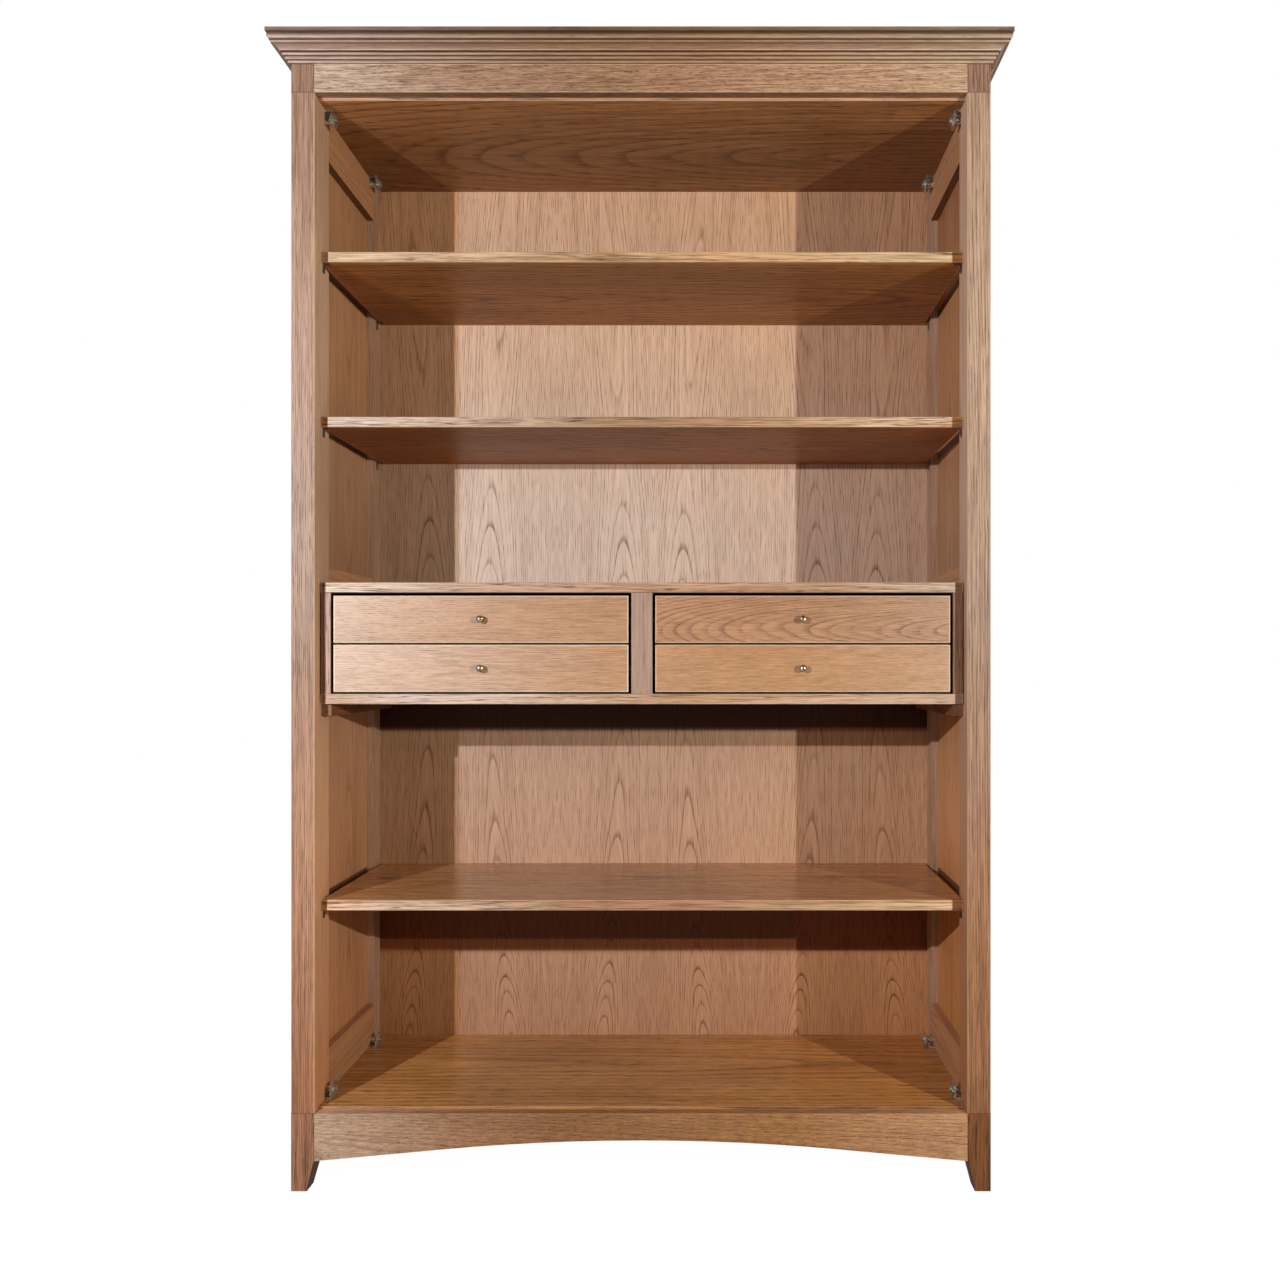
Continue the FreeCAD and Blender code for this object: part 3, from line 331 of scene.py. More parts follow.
boards = {
    "left_front_post": dict(post, side=0.055, tilt=0.006, streaks=0.35, tone=(0.94, 0.92, 0.92),
                            arris=0.9),
    "right_front_post": dict(post, side=-0.05, tilt=-0.02, tone=(0.97, 0.95, 0.92), pitch=0.0045,
                             wander=0.01, lines=0.6, streaks=0.4, arris=0.6),
    "left_back_stile": backStile,
    "right_back_stile": backStile,
    "left_bottom_rail": sideRail,
    "right_bottom_rail": sideRail,
    "left_middle_rail": sideRail,
    "right_middle_rail": sideRail,
    "left_top_rail": sideRail,
    "right_top_rail": sideRail,
    "left_lower_panel": dict(sidePanel, tilt=0.04),
    "right_lower_panel": dict(sidePanel, tilt=-0.04),
    "left_upper_panel": dict(sidePanel, tilt=-0.05),
    "right_upper_panel": dict(sidePanel, tilt=0.05),
    # The front legs are painted lighter on the left and darker on the right, and inner paints shade
    # on their faces towards the middle
    "front_leg_left": dict(tone=(0.74, 0.54, 0.45), arris=0.25, ends=0.6, inner=(0.2, 0.12, 0.08)),
    "front_leg_right": dict(tone=(0.42, 0.245, 0.11), arris=0.25, ends=0.6,
                            inner=(0.3, 0.2, 0.15)),
    "back_leg_left": dict(tone=(0.75, 0.7, 0.65)),
    "back_leg_right": dict(tone=(0.75, 0.7, 0.65)),
    "base_apron": dict(order="zyx", side=-0.03, depth=0.09, tilt=0.02, tone=(0.9, 0.84, 0.78),
                       ends=0.5, arris=0.3, shortness=4.5, fibres=2.2, pores=0.45),
    "base_back_rail": dict(finish="inner", order="zyx"),
    "base_side_rails": dict(order="zxy"),
    "bottom_board": dict(board, finish="board", depth=0.04, tilt=0.03, pitch=0.015, wander=0.012,
                         lines=0.55, arris=0.55, arrisWidth=0.0012),
    "board_cleats": dict(finish="inner", order="zyx"),
    "locating_dowels": dict(finish="inner"),
    "corner_blocks": dict(tone=(0.66, 0.6, 0.62), pitch=0.002, ends=0.6),
    "frieze_front": dict(order="zyx", side=0.04, depth=0.12, tilt=0.015, pitch=0.0028, pores=0.6,
                         tone=(0.88, 0.8, 0.72), ends=0.6, arris=0.7, shortness=3.5, fibres=2.6),
    "frieze_sides": dict(order="zxy"),
    "cornice_back_rail": dict(finish="inner", order="zyx"),
    "top_board": dict(board, finish="overhead", side=0.03, depth=-0.075, tilt=0.16, pitch=0.015,
                      wander=0.016, lines=0.55, arris=0.9, arrisWidth=0.0012,
                      tone=(0.86, 0.82, 0.8)),
    "crown_front": dict(crown, order="zyx"),
    "crown_left": dict(crown, order="zxy"),
    "crown_right": dict(crown, order="zxy"),
    "cornice_cap": dict(finish="inner", order="yzx", depth=0.08, tilt=0.04, pitch=0.005),
    "case_top": dict(order="yzx", depth=0.06, tilt=0.04, pitch=0.004, arris=0.5,
                     tone=(0.98, 0.92, 0.85)),
    "case_bottom": dict(order="yzx", depth=0.06, tilt=-0.04, pitch=0.004, arris=0.5,
                        tone=(1.08, 1.12, 1.15)),
    "case_sides": dict(order="yxz", tone=(0.9, 0.88, 0.92), ends=0.6),
    "centre_stile": dict(tone=(0.78, 0.82, 0.92), lines=0.15, pores=0.3, fibres=1.2),
    "case_partition": dict(finish="inner", order="zxy"),
    "case_back": dict(finish="inner", order="zyx"),
    "drawer_runners": dict(finish="inner", order="zxy"),
    "case_cleats": dict(order="zxy", tone=(0.42, 0.27, 0.17)),
    "lower_shelf": dict(shelf, finish="board", tilt=0.03),
    "middle_shelf": dict(shelf, finish="overhead", tilt=-0.06),
    "upper_shelf": dict(shelf, finish="overhead", tilt=0.07),
    "upper_left_drawer_front": dict(drawerFront, side=-0.09, depth=0.05, tilt=-0.04, lines=0.4),
    # The lower left front's tone is painted lighter, as sheen
    "lower_left_drawer_front": dict(drawerFront, side=0.09, depth=0.05, tilt=0.03, lines=0.4,
                                    tone=(1.1, 1.16, 1.24)),
    "upper_right_drawer_front": dict(drawerFront, side=-0.018, depth=0.055, tilt=-0.09,
                                     pitch=0.0032, wander=0.012, width=0.45, lines=0.7,
                                     tone=(0.93, 0.86, 0.84)),
    "lower_right_drawer_front": dict(drawerFront, side=0.12, depth=0.08, lines=0.12,
                                     tone=(0.98, 0.91, 0.85)),
    "lower_left_drawer_box": drawerBox,
    "lower_right_drawer_box": drawerBox,
    "upper_left_drawer_box": drawerBox,
    "upper_right_drawer_box": drawerBox,
}
firstSeed, seedStep, backSeed = 1.7, 2.31, 4.4  # a seed sets where in its tree a board was cut

woodBump = dict(strength=0.3, distance=0.0004)
# The arrises' light tone: a painted highlight with some wear
wearAndHighlightTone = (0.86, 0.68, 0.5)
jointTone = (0.4, 0.35, 0.3)  # times the pores' colour
facingFront = (-0.8, -0.4)  # limits of the normal's Y
facingRear = (-0.5, 0.5)
facingInside = (0.4, 0.7)  # limits of the normal's X, counted towards the middle
postSplit = 0.001  # half the width of the step between a post's inner and outer half
endStep = 0.0003  # half the width of the step at a shaded end


def scaled(colour, tone):
    return tuple(min(1.0, c * t) for c, t in zip(colour, tone)) + (1.0,)


def finishWood(tree, shader, vector, choice, seed):
    finish = finishes[choice["finish"]]
    figure = useGroup(
        tree, woodGroup, Vector=vector, Heart_Side=choice["side"], Heart_Depth=choice["depth"],
        Tilt=choice["tilt"], Ring_Pitch=choice["pitch"], Wander=choice["wander"],
        Line_Width=choice["width"], Lines=choice["lines"], Streaks=choice["streaks"],
        Pores=choice["pores"], Fibres=choice["fibres"], Shortness=choice["shortness"],
        Gloss=finish["gloss"], Seed=seed, Light=scaled(finish["light"], choice["tone"]),
        Dark=scaled(finish["dark"], choice["tone"]),
        Pore_Colour=scaled(finish["pore"], choice["tone"]))
    addBump(tree, shader, figure["Height"], **woodBump)
    tree.links.new(figure["Roughness"], shader.inputs["Roughness"])
    shader.inputs["Specular IOR Level"].default_value = finish["shine"]
    return figure["Color"]


def finishEdges(tree, colour, local, half, choice, forward, inward):
    edges = useGroup(tree, edgeGroup, Vector=local, Half_Size=half,
                     Arris_Width=choice["arrisWidth"], End_Width=choice["endWidth"],
                     End_Room=1.0 if choice["innerOnly"] else 0.0)
    # Painted highlight with some wear on the arrises
    if choice["arris"]:
        share = calc(tree, "MULTIPLY", edges["Arris"], choice["arris"])
        if choice["frontOnly"]:
            share = calc(tree, "MULTIPLY", share, forward)
        if choice["innerOnly"]:
            share = calc(tree, "MULTIPLY", share, inward)
        colour = blendColour(tree, share, colour, scaled(wearAndHighlightTone, choice["tone"]))
    if choice["ends"]:
        share = calc(tree, "MULTIPLY", edges["Ends"], choice["ends"])
        joint = scaled(finishes[choice["finish"]]["pore"], jointTone)
        colour = blendColour(tree, share, colour, joint)
    return colour


def fade(tree, colour, value, stops):
    # Multiplies the colour by a run of tones, each (place in metres, tone). The ramp holds half of
    # each tone, as a tone may be over one.
    start, span = stops[0][0], stops[-1][0] - stops[0][0]
    share = calc(tree, "DIVIDE", calc(tree, "SUBTRACT", value, start), span)
    halves = [((level - start) / span, [part / 2 for part in tone]) for level, tone in stops]
    toned = vectorCalc(tree, "MULTIPLY", colour, colourRamp(tree, share, halves))
    return vectorCalc(tree, "MULTIPLY", toned, (2.0, 2.0, 2.0))


def shadeEnds(tree, colour, base, x, ends):
    # Beyond each edge, on its own side, the colour is the base times a tone
    for side, edge, tone in ends:
        share = ease(tree, calc(tree, "MULTIPLY", x, side), edge - endStep, edge + endStep)
        colour = blendColour(tree, share, colour, vectorCalc(tree, "MULTIPLY", base, tone))
    return colour


def fadeBoard(tree, colour, where, name):
    plainColour, x = colour, where[0]
    for axis, stops in paintedLight.get(name, {}).items():
        if axis == "lip":
            joint, edgeRun, boardRun, ends = stops
            edge = shadeEnds(tree, fade(tree, colour, x, edgeRun), colour, x, ends)
            behind = ease(tree, where[1], joint, joint + softStep)
            colour = blendColour(tree, behind, edge, fade(tree, colour, x, boardRun))
        elif axis == "ends":
            colour = shadeEnds(tree, colour, plainColour, x, stops)
        else:
            colour = fade(tree, colour, where["xyz".index(axis)], stops)
    return colour


def woodMaterial(name, choice, seed):
    choice = {**plain, **choice}
    low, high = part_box(name)
    centre, half = (low + high) / 2, (high - low) / 2
    material, tree, shader = newMaterial("wood_" + name)
    place = coordinate(tree, "Object")
    order = choice["order"]
    local = reorder(tree, vectorCalc(tree, "SUBTRACT", place, tuple(centre)), order)
    where = parts(tree, place)
    if choice["calmBehind"]:
        near, far, left = choice["calmBehind"]
        share = ease(tree, where[1], low.y + near, low.y + far, 1.0, left)
        calmed = {key: calc(tree, "MULTIPLY", share, choice[key])
                  for key in ("lines", "streaks", "pores", "fibres")}
        choice = {**choice, **calmed}
    colour = finishWood(tree, shader, local, choice, seed)
    normal = parts(tree, coordinate(tree, "Normal"))
    forward = ease(tree, normal[1], *facingFront, 1.0, 0.0)
    inside = calc(tree, "MULTIPLY", normal[0], -math.copysign(1, centre.x))
    facing = ease(tree, inside, *facingInside)
    # inner is a painted shade on the faces that look towards the middle
    if choice["inner"]:
        toned = vectorCalc(tree, "MULTIPLY", colour, choice["inner"])
        colour = blendColour(tree, facing, colour, toned)
    unfaded = colour
    colour = fadeBoard(tree, colour, where, name)
    # Painted tones stay on the faces towards the middle where fadeInside is set
    if choice["fadeInside"]:
        colour = blendColour(tree, facing, unfaded, colour)
    if choice["arris"] or choice["ends"]:
        outward = calc(tree, "MULTIPLY", where[0], math.copysign(1, centre.x))
        inward = ease(tree, outward, abs(centre.x) - postSplit, abs(centre.x) + postSplit, 1.0, 0.0)
        ordered = tuple(half["xyz".index(axis)] for axis in order)
        colour = finishEdges(tree, colour, local, ordered, choice, forward, inward)
    tree.links.new(colour, shader.inputs["Base Color"])
    return material


# Tones along an axis, each (place in metres, tone). They are painted light and shade, set where the
# light changes on the real piece: long pieces painted darker at one end, the inner faces of the
# posts painted lighter than their fronts, lippings lighter than the boards behind them, partly as
# painted sheen, painted shade in the crown's grooves and in gaps, and the posts' shadows painted on
# the ends of the shelves and the case.
one = (1, 1, 1)
even = ((-0.58, one), (0.58, one))
# dark is a painted shade for the gaps round the case and its centre stile
dark = (0.1, 0.07, 0.05)
railShade = (0.32, 0.25, 0.18)
friezeShade = (0.5, 0.42, 0.33)
# rightShade: the right post's painted shadow on the case's right end
rightShade = (0.52, 0.42, 0.34)
gapShade = 0.25
skin = 0.0006  # depth to which a face keeps a tone of its own
softStep = 0.0004  # width of the step behind a skin or a lipping
darkStep = 0.0003  # width of the step beside a dark line
gapEdge = 0.001  # width of the step at the dark line beside a shelf
boardFront = 0.05  # depth of a shelf's board before its tone changes to the rear
leftShadow, rightShadow = 0.5495, 0.5412  # where the posts' shadows end on the lippings


def lipped(name, width, edge, board, underShade, rear=1.0, edgeRun=even, boardRun=even, ends=()):
    # rear is the share of the board's tone that is left in the rear half, as painted shade; the
    # under tone is a painted shade on the underside; the two runs are painted light along the
    # lipping and along the board, and ends are the posts' painted shadows at the lipping's ends
    low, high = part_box(name)
    joint, face = low.y + width, low.z + skin
    rest = tuple(u / b for u, b in zip(underShade, board))
    last = tuple(b * rear for b in board)
    return dict(y=((low.y, edge), (joint, edge), (joint + softStep, board),
                   (joint + boardFront, board), (0.0, last), (high.y, last)),
                z=((low.z, rest), (face, rest), (face + softStep, one), (high.z, one)),
                lip=(joint, edgeRun, boardRun, ends))


def postShadowEnds(outer, inner, reach, right):
    # The posts' shadows are painted on a shelf's ends: outer and inner are the tones on the left,
    # the inner one from reach, where the painted shade goes past the post's own shadow
    return ((-1, reach, inner), (-1, leftShadow, outer), (1, rightShadow, right))


def banded(run, *shelves):
    # Adds a dark line to a panel's tones at each shelf's end, where the gap beside it gets no light
    levels = [level for level, tone in run]
    tones = np.array([tone for level, tone in run])
    stops = list(run)
    for name in shelves:
        low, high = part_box(name)
        for level, share in ((low.z, 1), (low.z + gapEdge, gapShade),
                             (high.z - gapEdge, gapShade), (high.z, 1)):
            tone = tuple(float(share * np.interp(level, levels, part)) for part in tones.T)
            stops.append((level, tone))
    return tuple(sorted(stops))


def darkFrom(low, tone, reach):
    return ((low, tone), (low + reach, tone), (low + reach + darkStep, one))


def darkTo(high, tone, reach):
    return ((high - reach - darkStep, one), (high - reach, tone), (high, tone))


# Painted shade on a piece's underside
def shadeUnderside(name, tone):
    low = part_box(name)[0].z
    return dict(z=darkFrom(low, tone, skin) + ((low + 0.1, one),))


# Painted light on the faces behind a post's front face
def behindFront(tone):
    return ((frontY, one), (frontY + skin, one), (frontY + skin + softStep, tone), (0.0, tone))


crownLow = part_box("crown_front")[0]
# Painted shade in the crown's grooves and painted highlights on its beads, as tones by height above
# the crown's foot
grooveShadeAndHighlight = ((0.0, 0.55), (0.0012, 1.25), (0.0036, 1.15), (0.0048, 0.4), (0.0060, 1.2), (0.0088, 1.1),
           (0.0100, 0.4), (0.0112, 1.2), (0.0140, 1.1), (0.0151, 0.2), (0.0158, 0.5),
           (0.0167, 1.7), (0.0178, 0.85), (0.0225, 0.75), (0.0234, 0.5), (0.0242, 1.0),
           (0.0262, 1.1), (0.0272, 0.4), (0.0284, 0.4), (0.0294, 1.1), (0.0350, 0.7),
           (0.0376, 0.36), (0.0392, 0.2), (0.0396, 0.5), (0.0440, 0.64), (0.0456, 0.9),
           (0.046, 0.7))
crownGrooveTones = dict(z=tuple((crownLow.z + z, (t, t, t)) for z, t in grooveShadeAndHighlight))
# Painted sheen towards the crown's ends
crownEndSheen = ((-0.62, (1.3, 1.5, 1.95)), (-0.3, (0.97, 1.03, 1.1)), (-0.15, (0.86, 0.86, 0.82)),
            (0.15, (1.04, 1.0, 0.92)), (0.62, (1.3, 1.55, 1.75)))
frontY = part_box("left_front_post")[0].y
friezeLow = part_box("frieze_front")[0].z
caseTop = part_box("case_top")[0]
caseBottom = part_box("case_bottom")[1]
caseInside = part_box("case_back")[1].x + 0.0008
stileLow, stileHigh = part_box("centre_stile")
# The left post's shadow, painted on the case's left end
leftPostShadow = ((-1, 0.549, (0.24, 0.13, 0.085)), (-1, 0.5535, (0.46, 0.3, 0.19)))
casePostShadows = leftPostShadow + ((1, 0.5448, rightShade),)

# Painted light and shade for each piece, by axis
paintedLight = {
    # Painted shade under the side frames' top rails
    "left_top_rail": shadeUnderside("left_top_rail", railShade),
    "right_top_rail": shadeUnderside("right_top_rail", railShade),
    # The posts carry painted light and shade along their height, and painted light on their inner
    # faces
    "left_front_post": dict(
        z=((0.0, (0.8, 0.52, 0.36)), (0.59, (0.96, 0.81, 0.7)), (0.93, (0.74, 0.68, 0.665)),
           (1.2, (0.66, 0.6, 0.6)), (1.45, (0.9, 0.9, 0.95)), (1.62, (0.9, 0.9, 0.93)),
           (1.8, (0.76, 0.72, 0.72))),
        y=behindFront((1.75, 1.95, 1.9))),
    "right_front_post": dict(
        z=((0.0, (0.58, 0.38, 0.25)), (0.42, (0.71, 0.54, 0.4)), (0.76, (0.73, 0.68, 0.69)),
           (1.0, (0.76, 0.79, 0.88)), (1.44, (0.97, 1.05, 1.16)), (1.8, (0.95, 1.0, 1.08))),
        y=behindFront((1.5, 1.5, 1.5))),
    # Painted sheen towards the frieze's ends, and a painted shade line along its lower edge
    "frieze_front": dict(
        x=((-0.56, (1.25, 1.6, 2.0)), (-0.32, (0.84, 0.88, 0.95)), (-0.07, (0.8, 0.78, 0.75)),
           (0.1, (0.87, 0.84, 0.84)), (0.34, (1.1, 1.15, 1.18)), (0.56, (1.2, 1.35, 1.5))),
        z=darkFrom(friezeLow, friezeShade, 0.0003) + ((2.0, one),)),
    # Painted light along the apron: lighter towards its ends, darker in the middle
    "base_apron": dict(
        x=((-0.56, (1.28, 1.46, 1.62)), (-0.3, (0.82, 0.7, 0.57)), (-0.15, (0.69, 0.53, 0.37)),
           (0.25, (0.86, 0.69, 0.42)), (0.56, (1.15, 1.04, 0.88)))),
    # The case's edges carry painted shade lines at the gaps, painted sheen towards their ends and
    # the posts' painted shadows
    "case_top": dict(
        z=darkFrom(caseTop.z, dark, 0.0012) + ((1.1, one),),
        x=((-0.57, (1.3, 1.8, 2.0)), (-0.5, (1.3, 1.6, 2.0)), (-0.33, (0.95, 0.98, 1.05)),
           (0.1, (0.97, 0.93, 0.88)), (0.34, (1.0, 1.0, 0.95)), (0.54, (1.15, 1.45, 1.8))),
        ends=casePostShadows),
    "case_bottom": dict(
        z=((0.8, one),) + darkTo(caseBottom.z, dark, 0.0007),
        x=((-0.54, (1.1, 1.1, 1.1)), (-0.4, (1.22, 1.35, 1.6)), (-0.25, (1.15, 1.25, 1.4)),
           (0.07, (0.92, 0.82, 0.66)), (0.25, (1.05, 1.02, 0.95)), (0.5, (0.9, 0.93, 0.97))),
        ends=casePostShadows),
    # The case sides' inner faces are painted dark as shade; the right side carries the right post's
    # painted shadow and the left end the left post's
    "case_sides": dict(
        x=((-0.57, dark), (0.57, dark)),
        ends=((-1, caseInside, (1, 1, 1.05)), (1, caseInside, rightShade)) + leftPostShadow),
    # Painted shade lines on the stile's sides, in the gaps beside the drawers
    "centre_stile": dict(
        x=darkFrom(stileLow.x, dark, 0.0006) + darkTo(stileHigh.x, dark, 0.0006)),
    "crown_front": dict(crownGrooveTones, x=crownEndSheen),
    "crown_left": crownGrooveTones,
    "crown_right": crownGrooveTones,
    # Boards: painted shade underneath and towards the rear, painted sheen along the lippings, and
    # the posts' shadows painted on the shelves' ends
    "top_board": lipped("top_board", 0.006, (1.1, 1.18, 1.38), (0.9, 0.92, 0.93),
                        (0.86, 0.72, 0.52), 0.72),
    "upper_shelf": lipped(
        "upper_shelf", 0.01, (1.25, 1.42, 1.5), one, (0.73, 0.54, 0.29),
        edgeRun=((-0.56, (0.95, 1.12, 1.36)), (-0.3, (0.92, 0.98, 1.05)), (0.2, (0.92, 0.88, 0.8)),
                 (0.56, (0.98, 1.14, 1.24))),
        ends=postShadowEnds((0.68, 0.57, 0.44), (0.28, 0.13, 0.07), 0.5472, (0.62, 0.44, 0.25))),
    "middle_shelf": lipped(
        "middle_shelf", 0.01, (1.4, 1.55, 1.7), one, (0.63, 0.34, 0.1),
        edgeRun=((-0.55, (0.85, 1.1, 1.6)), (-0.3, (0.85, 1.0, 1.3)), (-0.07, (0.5, 0.5, 0.5)),
                 (0.1, (0.6, 0.6, 0.6)), (0.35, (0.75, 0.8, 0.85)), (0.55, (1.35, 1.6, 1.9))),
        ends=postShadowEnds((0.45, 0.31, 0.125), (0.175, 0.088, 0.05), 0.5478, (1.0, 0.78, 0.5))),
    "lower_shelf": lipped(
        "lower_shelf", 0.01, (1.35, 1.45, 1.6), (0.95, 0.94, 0.88), (0.8, 0.7, 0.6), rear=0.9,
        edgeRun=((-0.56, (1.5, 1.65, 1.8)), (-0.45, (1.25, 1.45, 1.8)), (-0.3, (0.95, 1.05, 1.2)),
                 (-0.1, (0.65, 0.58, 0.5)), (0.1, (0.63, 0.56, 0.5)), (0.56, (0.96, 1.03, 1.0))),
        boardRun=((-0.56, (1.45, 1.38, 1.0)), (-0.3, (1.08, 1.08, 1.02)), (0.0, (0.95, 0.92, 0.88)),
                  (0.56, (1.33, 1.15, 0.8))),
        ends=postShadowEnds((0.68, 0.52, 0.18), (0.46, 0.31, 0.15), 0.549, (0.5, 0.25, 0.08))),
    "bottom_board": lipped(
        "bottom_board", 0.004, (0.9, 0.7, 0.4), (0.97, 0.87, 0.55), (0.8, 0.7, 0.5),
        boardRun=((-0.56, (1.18, 1.2, 1.12)), (-0.37, (1.2, 1.22, 1.2)), (-0.3, (0.96, 0.95, 0.98)),
                  (-0.1, (0.92, 0.87, 0.87)), (0.1, (1.06, 1.02, 1.0)),
                  (0.56, (1.18, 1.06, 0.82)))),
    # Painted sheen: the drawer fronts are lighter towards the case's ends
    "lower_left_drawer_front": dict(x=((-0.53, (1.15, 1.28, 1.5)), (-0.3, (1.1, 1.14, 1.24)),
                                       (-0.04, (0.96, 0.88, 0.78)))),
    "upper_left_drawer_front": dict(x=((-0.53, (1.05, 1.14, 1.28)), (-0.4, (1.0, 0.97, 0.93)),
                                       (-0.04, (0.96, 0.91, 0.85)))),
    "lower_right_drawer_front": dict(x=((0.03, (1.07, 1.1, 1.09)), (0.25, (1.03, 1.03, 0.96)),
                                        (0.53, (1.03, 1.14, 1.28)))),
    "upper_right_drawer_front": dict(x=((0.03, (1.04, 1.01, 1.0)), (0.25, (1.02, 1.02, 0.98)),
                                        (0.53, (1.0, 1.1, 1.25)))),
    # Painted light and shade along the side panels' height, with the dark lines at the shelves
    "left_upper_panel": dict(z=banded(
        ((1.1, (0.76, 0.83, 0.94)), (1.3, (0.96, 1.08, 1.22)), (1.45, (1.1, 1.18, 1.25)),
         (1.85, (1.05, 1.1, 1.1))), "middle_shelf", "upper_shelf")),
    "left_lower_panel": dict(z=banded(
        ((0.2, (1.12, 1.06, 1.0)), (0.8, (1.0, 1.09, 1.28))), "lower_shelf")),
    "right_upper_panel": dict(z=banded(
        ((1.1, (0.87, 0.93, 1.05)), (1.4, (1.02, 1.0, 0.98)), (1.6, (0.95, 0.89, 0.82)),
         (1.85, (0.7, 0.62, 0.57))), "middle_shelf", "upper_shelf")),
    "right_lower_panel": dict(z=banded(
        ((0.2, (1.12, 1.0, 0.72)), (0.42, (1.08, 0.93, 0.65)), (0.6, (1.27, 1.26, 1.22)),
         (0.8, (1.02, 0.99, 0.94))), "lower_shelf")),
}


def wear(name, material):
    # A CAD node keeps its mesh and gets the material in every slot
    slots = cadNodes[name].data.materials
    slots.clear()
    slots.append(material)


for number, (name, choice) in enumerate(boards.items()):
    wear(name, woodMaterial(name, choice, firstSeed + number * seedStep))
print("wood finished:", len(boards))


# Back panel: book-matched leaves, mirrored at every joint. The leaf's own X is the distance from
# the joint, folded by a ping-pong. The arches stand archNear + archSpread * (z - archWaist)^2 from
# the joint, and the heart's depth along the height is a run of ring numbers.

backPanel = dict(
    leaf=0.2, archNear=0.062, archSpread=0.058, archWaist=1.0, depth=0.078, drift=0.0045,
    runHeight=2.0,
    ringRun=((0.0, -16.0), (0.17, -14.0), (0.245, -12.0), (0.353, -9.3), (0.543, -7.0),
             (0.757, -5.0), (1.067, -3.0), (1.2, -1.05), (1.367, 0.45), (1.5, -0.05),
             (1.656, -0.6), (1.9, 0.4)),
    # Painted shade on the left of the front face, where the left post's shadow falls, and slightly
    # lighter on the right
    paintedSideShade=((-0.58, (0.88, 0.81, 0.74)), (-0.402, (0.88, 0.81, 0.74)), (-0.398, (1, 1.04, 1.1)),
               (0.0, (0.98, 0.99, 1.02)), (0.58, (1.05, 1.0, 0.95))),
    # Painted along the height: painted shadows under the lower shelf and under the case, and
    # lighter and darker tones by bay
    paintedLight=((0.1, (0.66, 0.44, 0.30)), (0.306, (0.7, 0.49, 0.35)), (0.316, (0.26, 0.1, 0.03)),
           (0.45, (0.22, 0.08, 0.02)), (0.48, (0.83, 0.64, 0.51)), (0.58, (0.83, 0.66, 0.54)),
           (0.66, (0.78, 0.63, 0.52)), (0.763, (0.72, 0.6, 0.5)), (0.771, (0.08, 0.02, 0.005)),
           (0.84, (0.04, 0.01, 0.003)), (1.04, (0.6, 0.55, 0.5)), (1.06, one), (1.2, one),
           (1.5, (0.98, 0.87, 0.74)), (1.88, (0.95, 0.76, 0.58))),
    # Painted tones by bay in the posts' shadows, on the left and on the right
    shadedLeft=((0.1, (1.09, 1.1, 0.94)), (0.48, (1.09, 1.1, 0.94)), (0.5, (0.91, 0.95, 0.91)),
                (0.9, (0.91, 0.95, 0.91)), (1.0, (0.83, 0.78, 0.71)), (1.32, (0.83, 0.78, 0.71)),
                (1.34, (0.98, 0.95, 0.89)), (1.6, (0.98, 0.95, 0.89)), (1.62, (1.16, 1.17, 1.12)),
                (1.9, (1.16, 1.17, 1.12))),
    shadedRight=((0.1, (1.29, 1.25, 1.04)), (0.48, (1.29, 1.25, 1.04)), (0.5, (1.18, 1.16, 1.07)),
                 (0.9, (1.18, 1.16, 1.07)), (1.0, (0.98, 0.89, 0.85)), (1.9, (0.96, 0.9, 0.87))),
    leftShade=-0.402, rightShade=0.292, shadeBlur=0.004,
    rearTone=(0.8, 0.66, 0.55),
    figure=dict(plain, finish="veneer", pitch=0.003, tilt=0.0, wander=0.0022, width=0.22,
                lines=0.85, streaks=0.7, pores=0.45, fibres=1.5))


def backMaterial():
    b = backPanel
    material, tree, shader = newMaterial("wood_back_panel")
    x, y, z = parts(tree, coordinate(tree, "Object"))
    away = calc(tree, "SUBTRACT", z, b["archWaist"])
    side = calc(tree, "MULTIPLY_ADD", calc(tree, "MULTIPLY", away, away), b["archSpread"],
                b["archNear"])
    folded = calc(tree, "PINGPONG", x, b["leaf"])
    local = joined(tree, folded, calc(tree, "SUBTRACT", y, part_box("back_panel")[0].y), z)

    # The run of ring numbers is kept in a ramp as shares between the least and the most
    rings = [number for level, number in b["ringRun"]]
    least, span = min(rings), max(rings) - min(rings)
    stops = [(level / b["runHeight"], ((number - least) / span,) * 3)
             for level, number in b["ringRun"]]
    ramp = colourRamp(tree, calc(tree, "DIVIDE", z, b["runHeight"]), stops, "CARDINAL")
    split = tree.nodes.new("ShaderNodeSeparateColor")
    tree.links.new(ramp, split.inputs[0])
    pitch = b["figure"]["pitch"]
    run = calc(tree, "MULTIPLY_ADD", split.outputs[0], span * pitch, b["depth"] + least * pitch)
    depth = calc(tree, "MULTIPLY_ADD", x, b["drift"], run)
    choice = dict(b["figure"], side=side, depth=depth)
    colour = finishWood(tree, shader, local, choice, backSeed)

    # The painted shade and light belong to the front face only
    faded = fade(tree, fade(tree, colour, z, b["paintedLight"]), x, b["paintedSideShade"])
    blur, left, right = b["shadeBlur"], b["leftShade"], b["rightShade"]
    faded = blendColour(tree, ease(tree, x, left - blur, left + blur, 1.0, 0.0), faded,
                        fade(tree, faded, z, b["shadedLeft"]))
    faded = blendColour(tree, ease(tree, x, right - blur, right + blur), faded,
                        fade(tree, faded, z, b["shadedRight"]))
    normal = parts(tree, coordinate(tree, "Normal"))
    plainRear = vectorCalc(tree, "MULTIPLY", colour, b["rearTone"])
    colour = blendColour(tree, ease(tree, normal[1], *facingRear), faded, plainRear)
    tree.links.new(colour, shader.inputs["Base Color"])
    return material


wear("back_panel", backMaterial())
print("back panel finished")


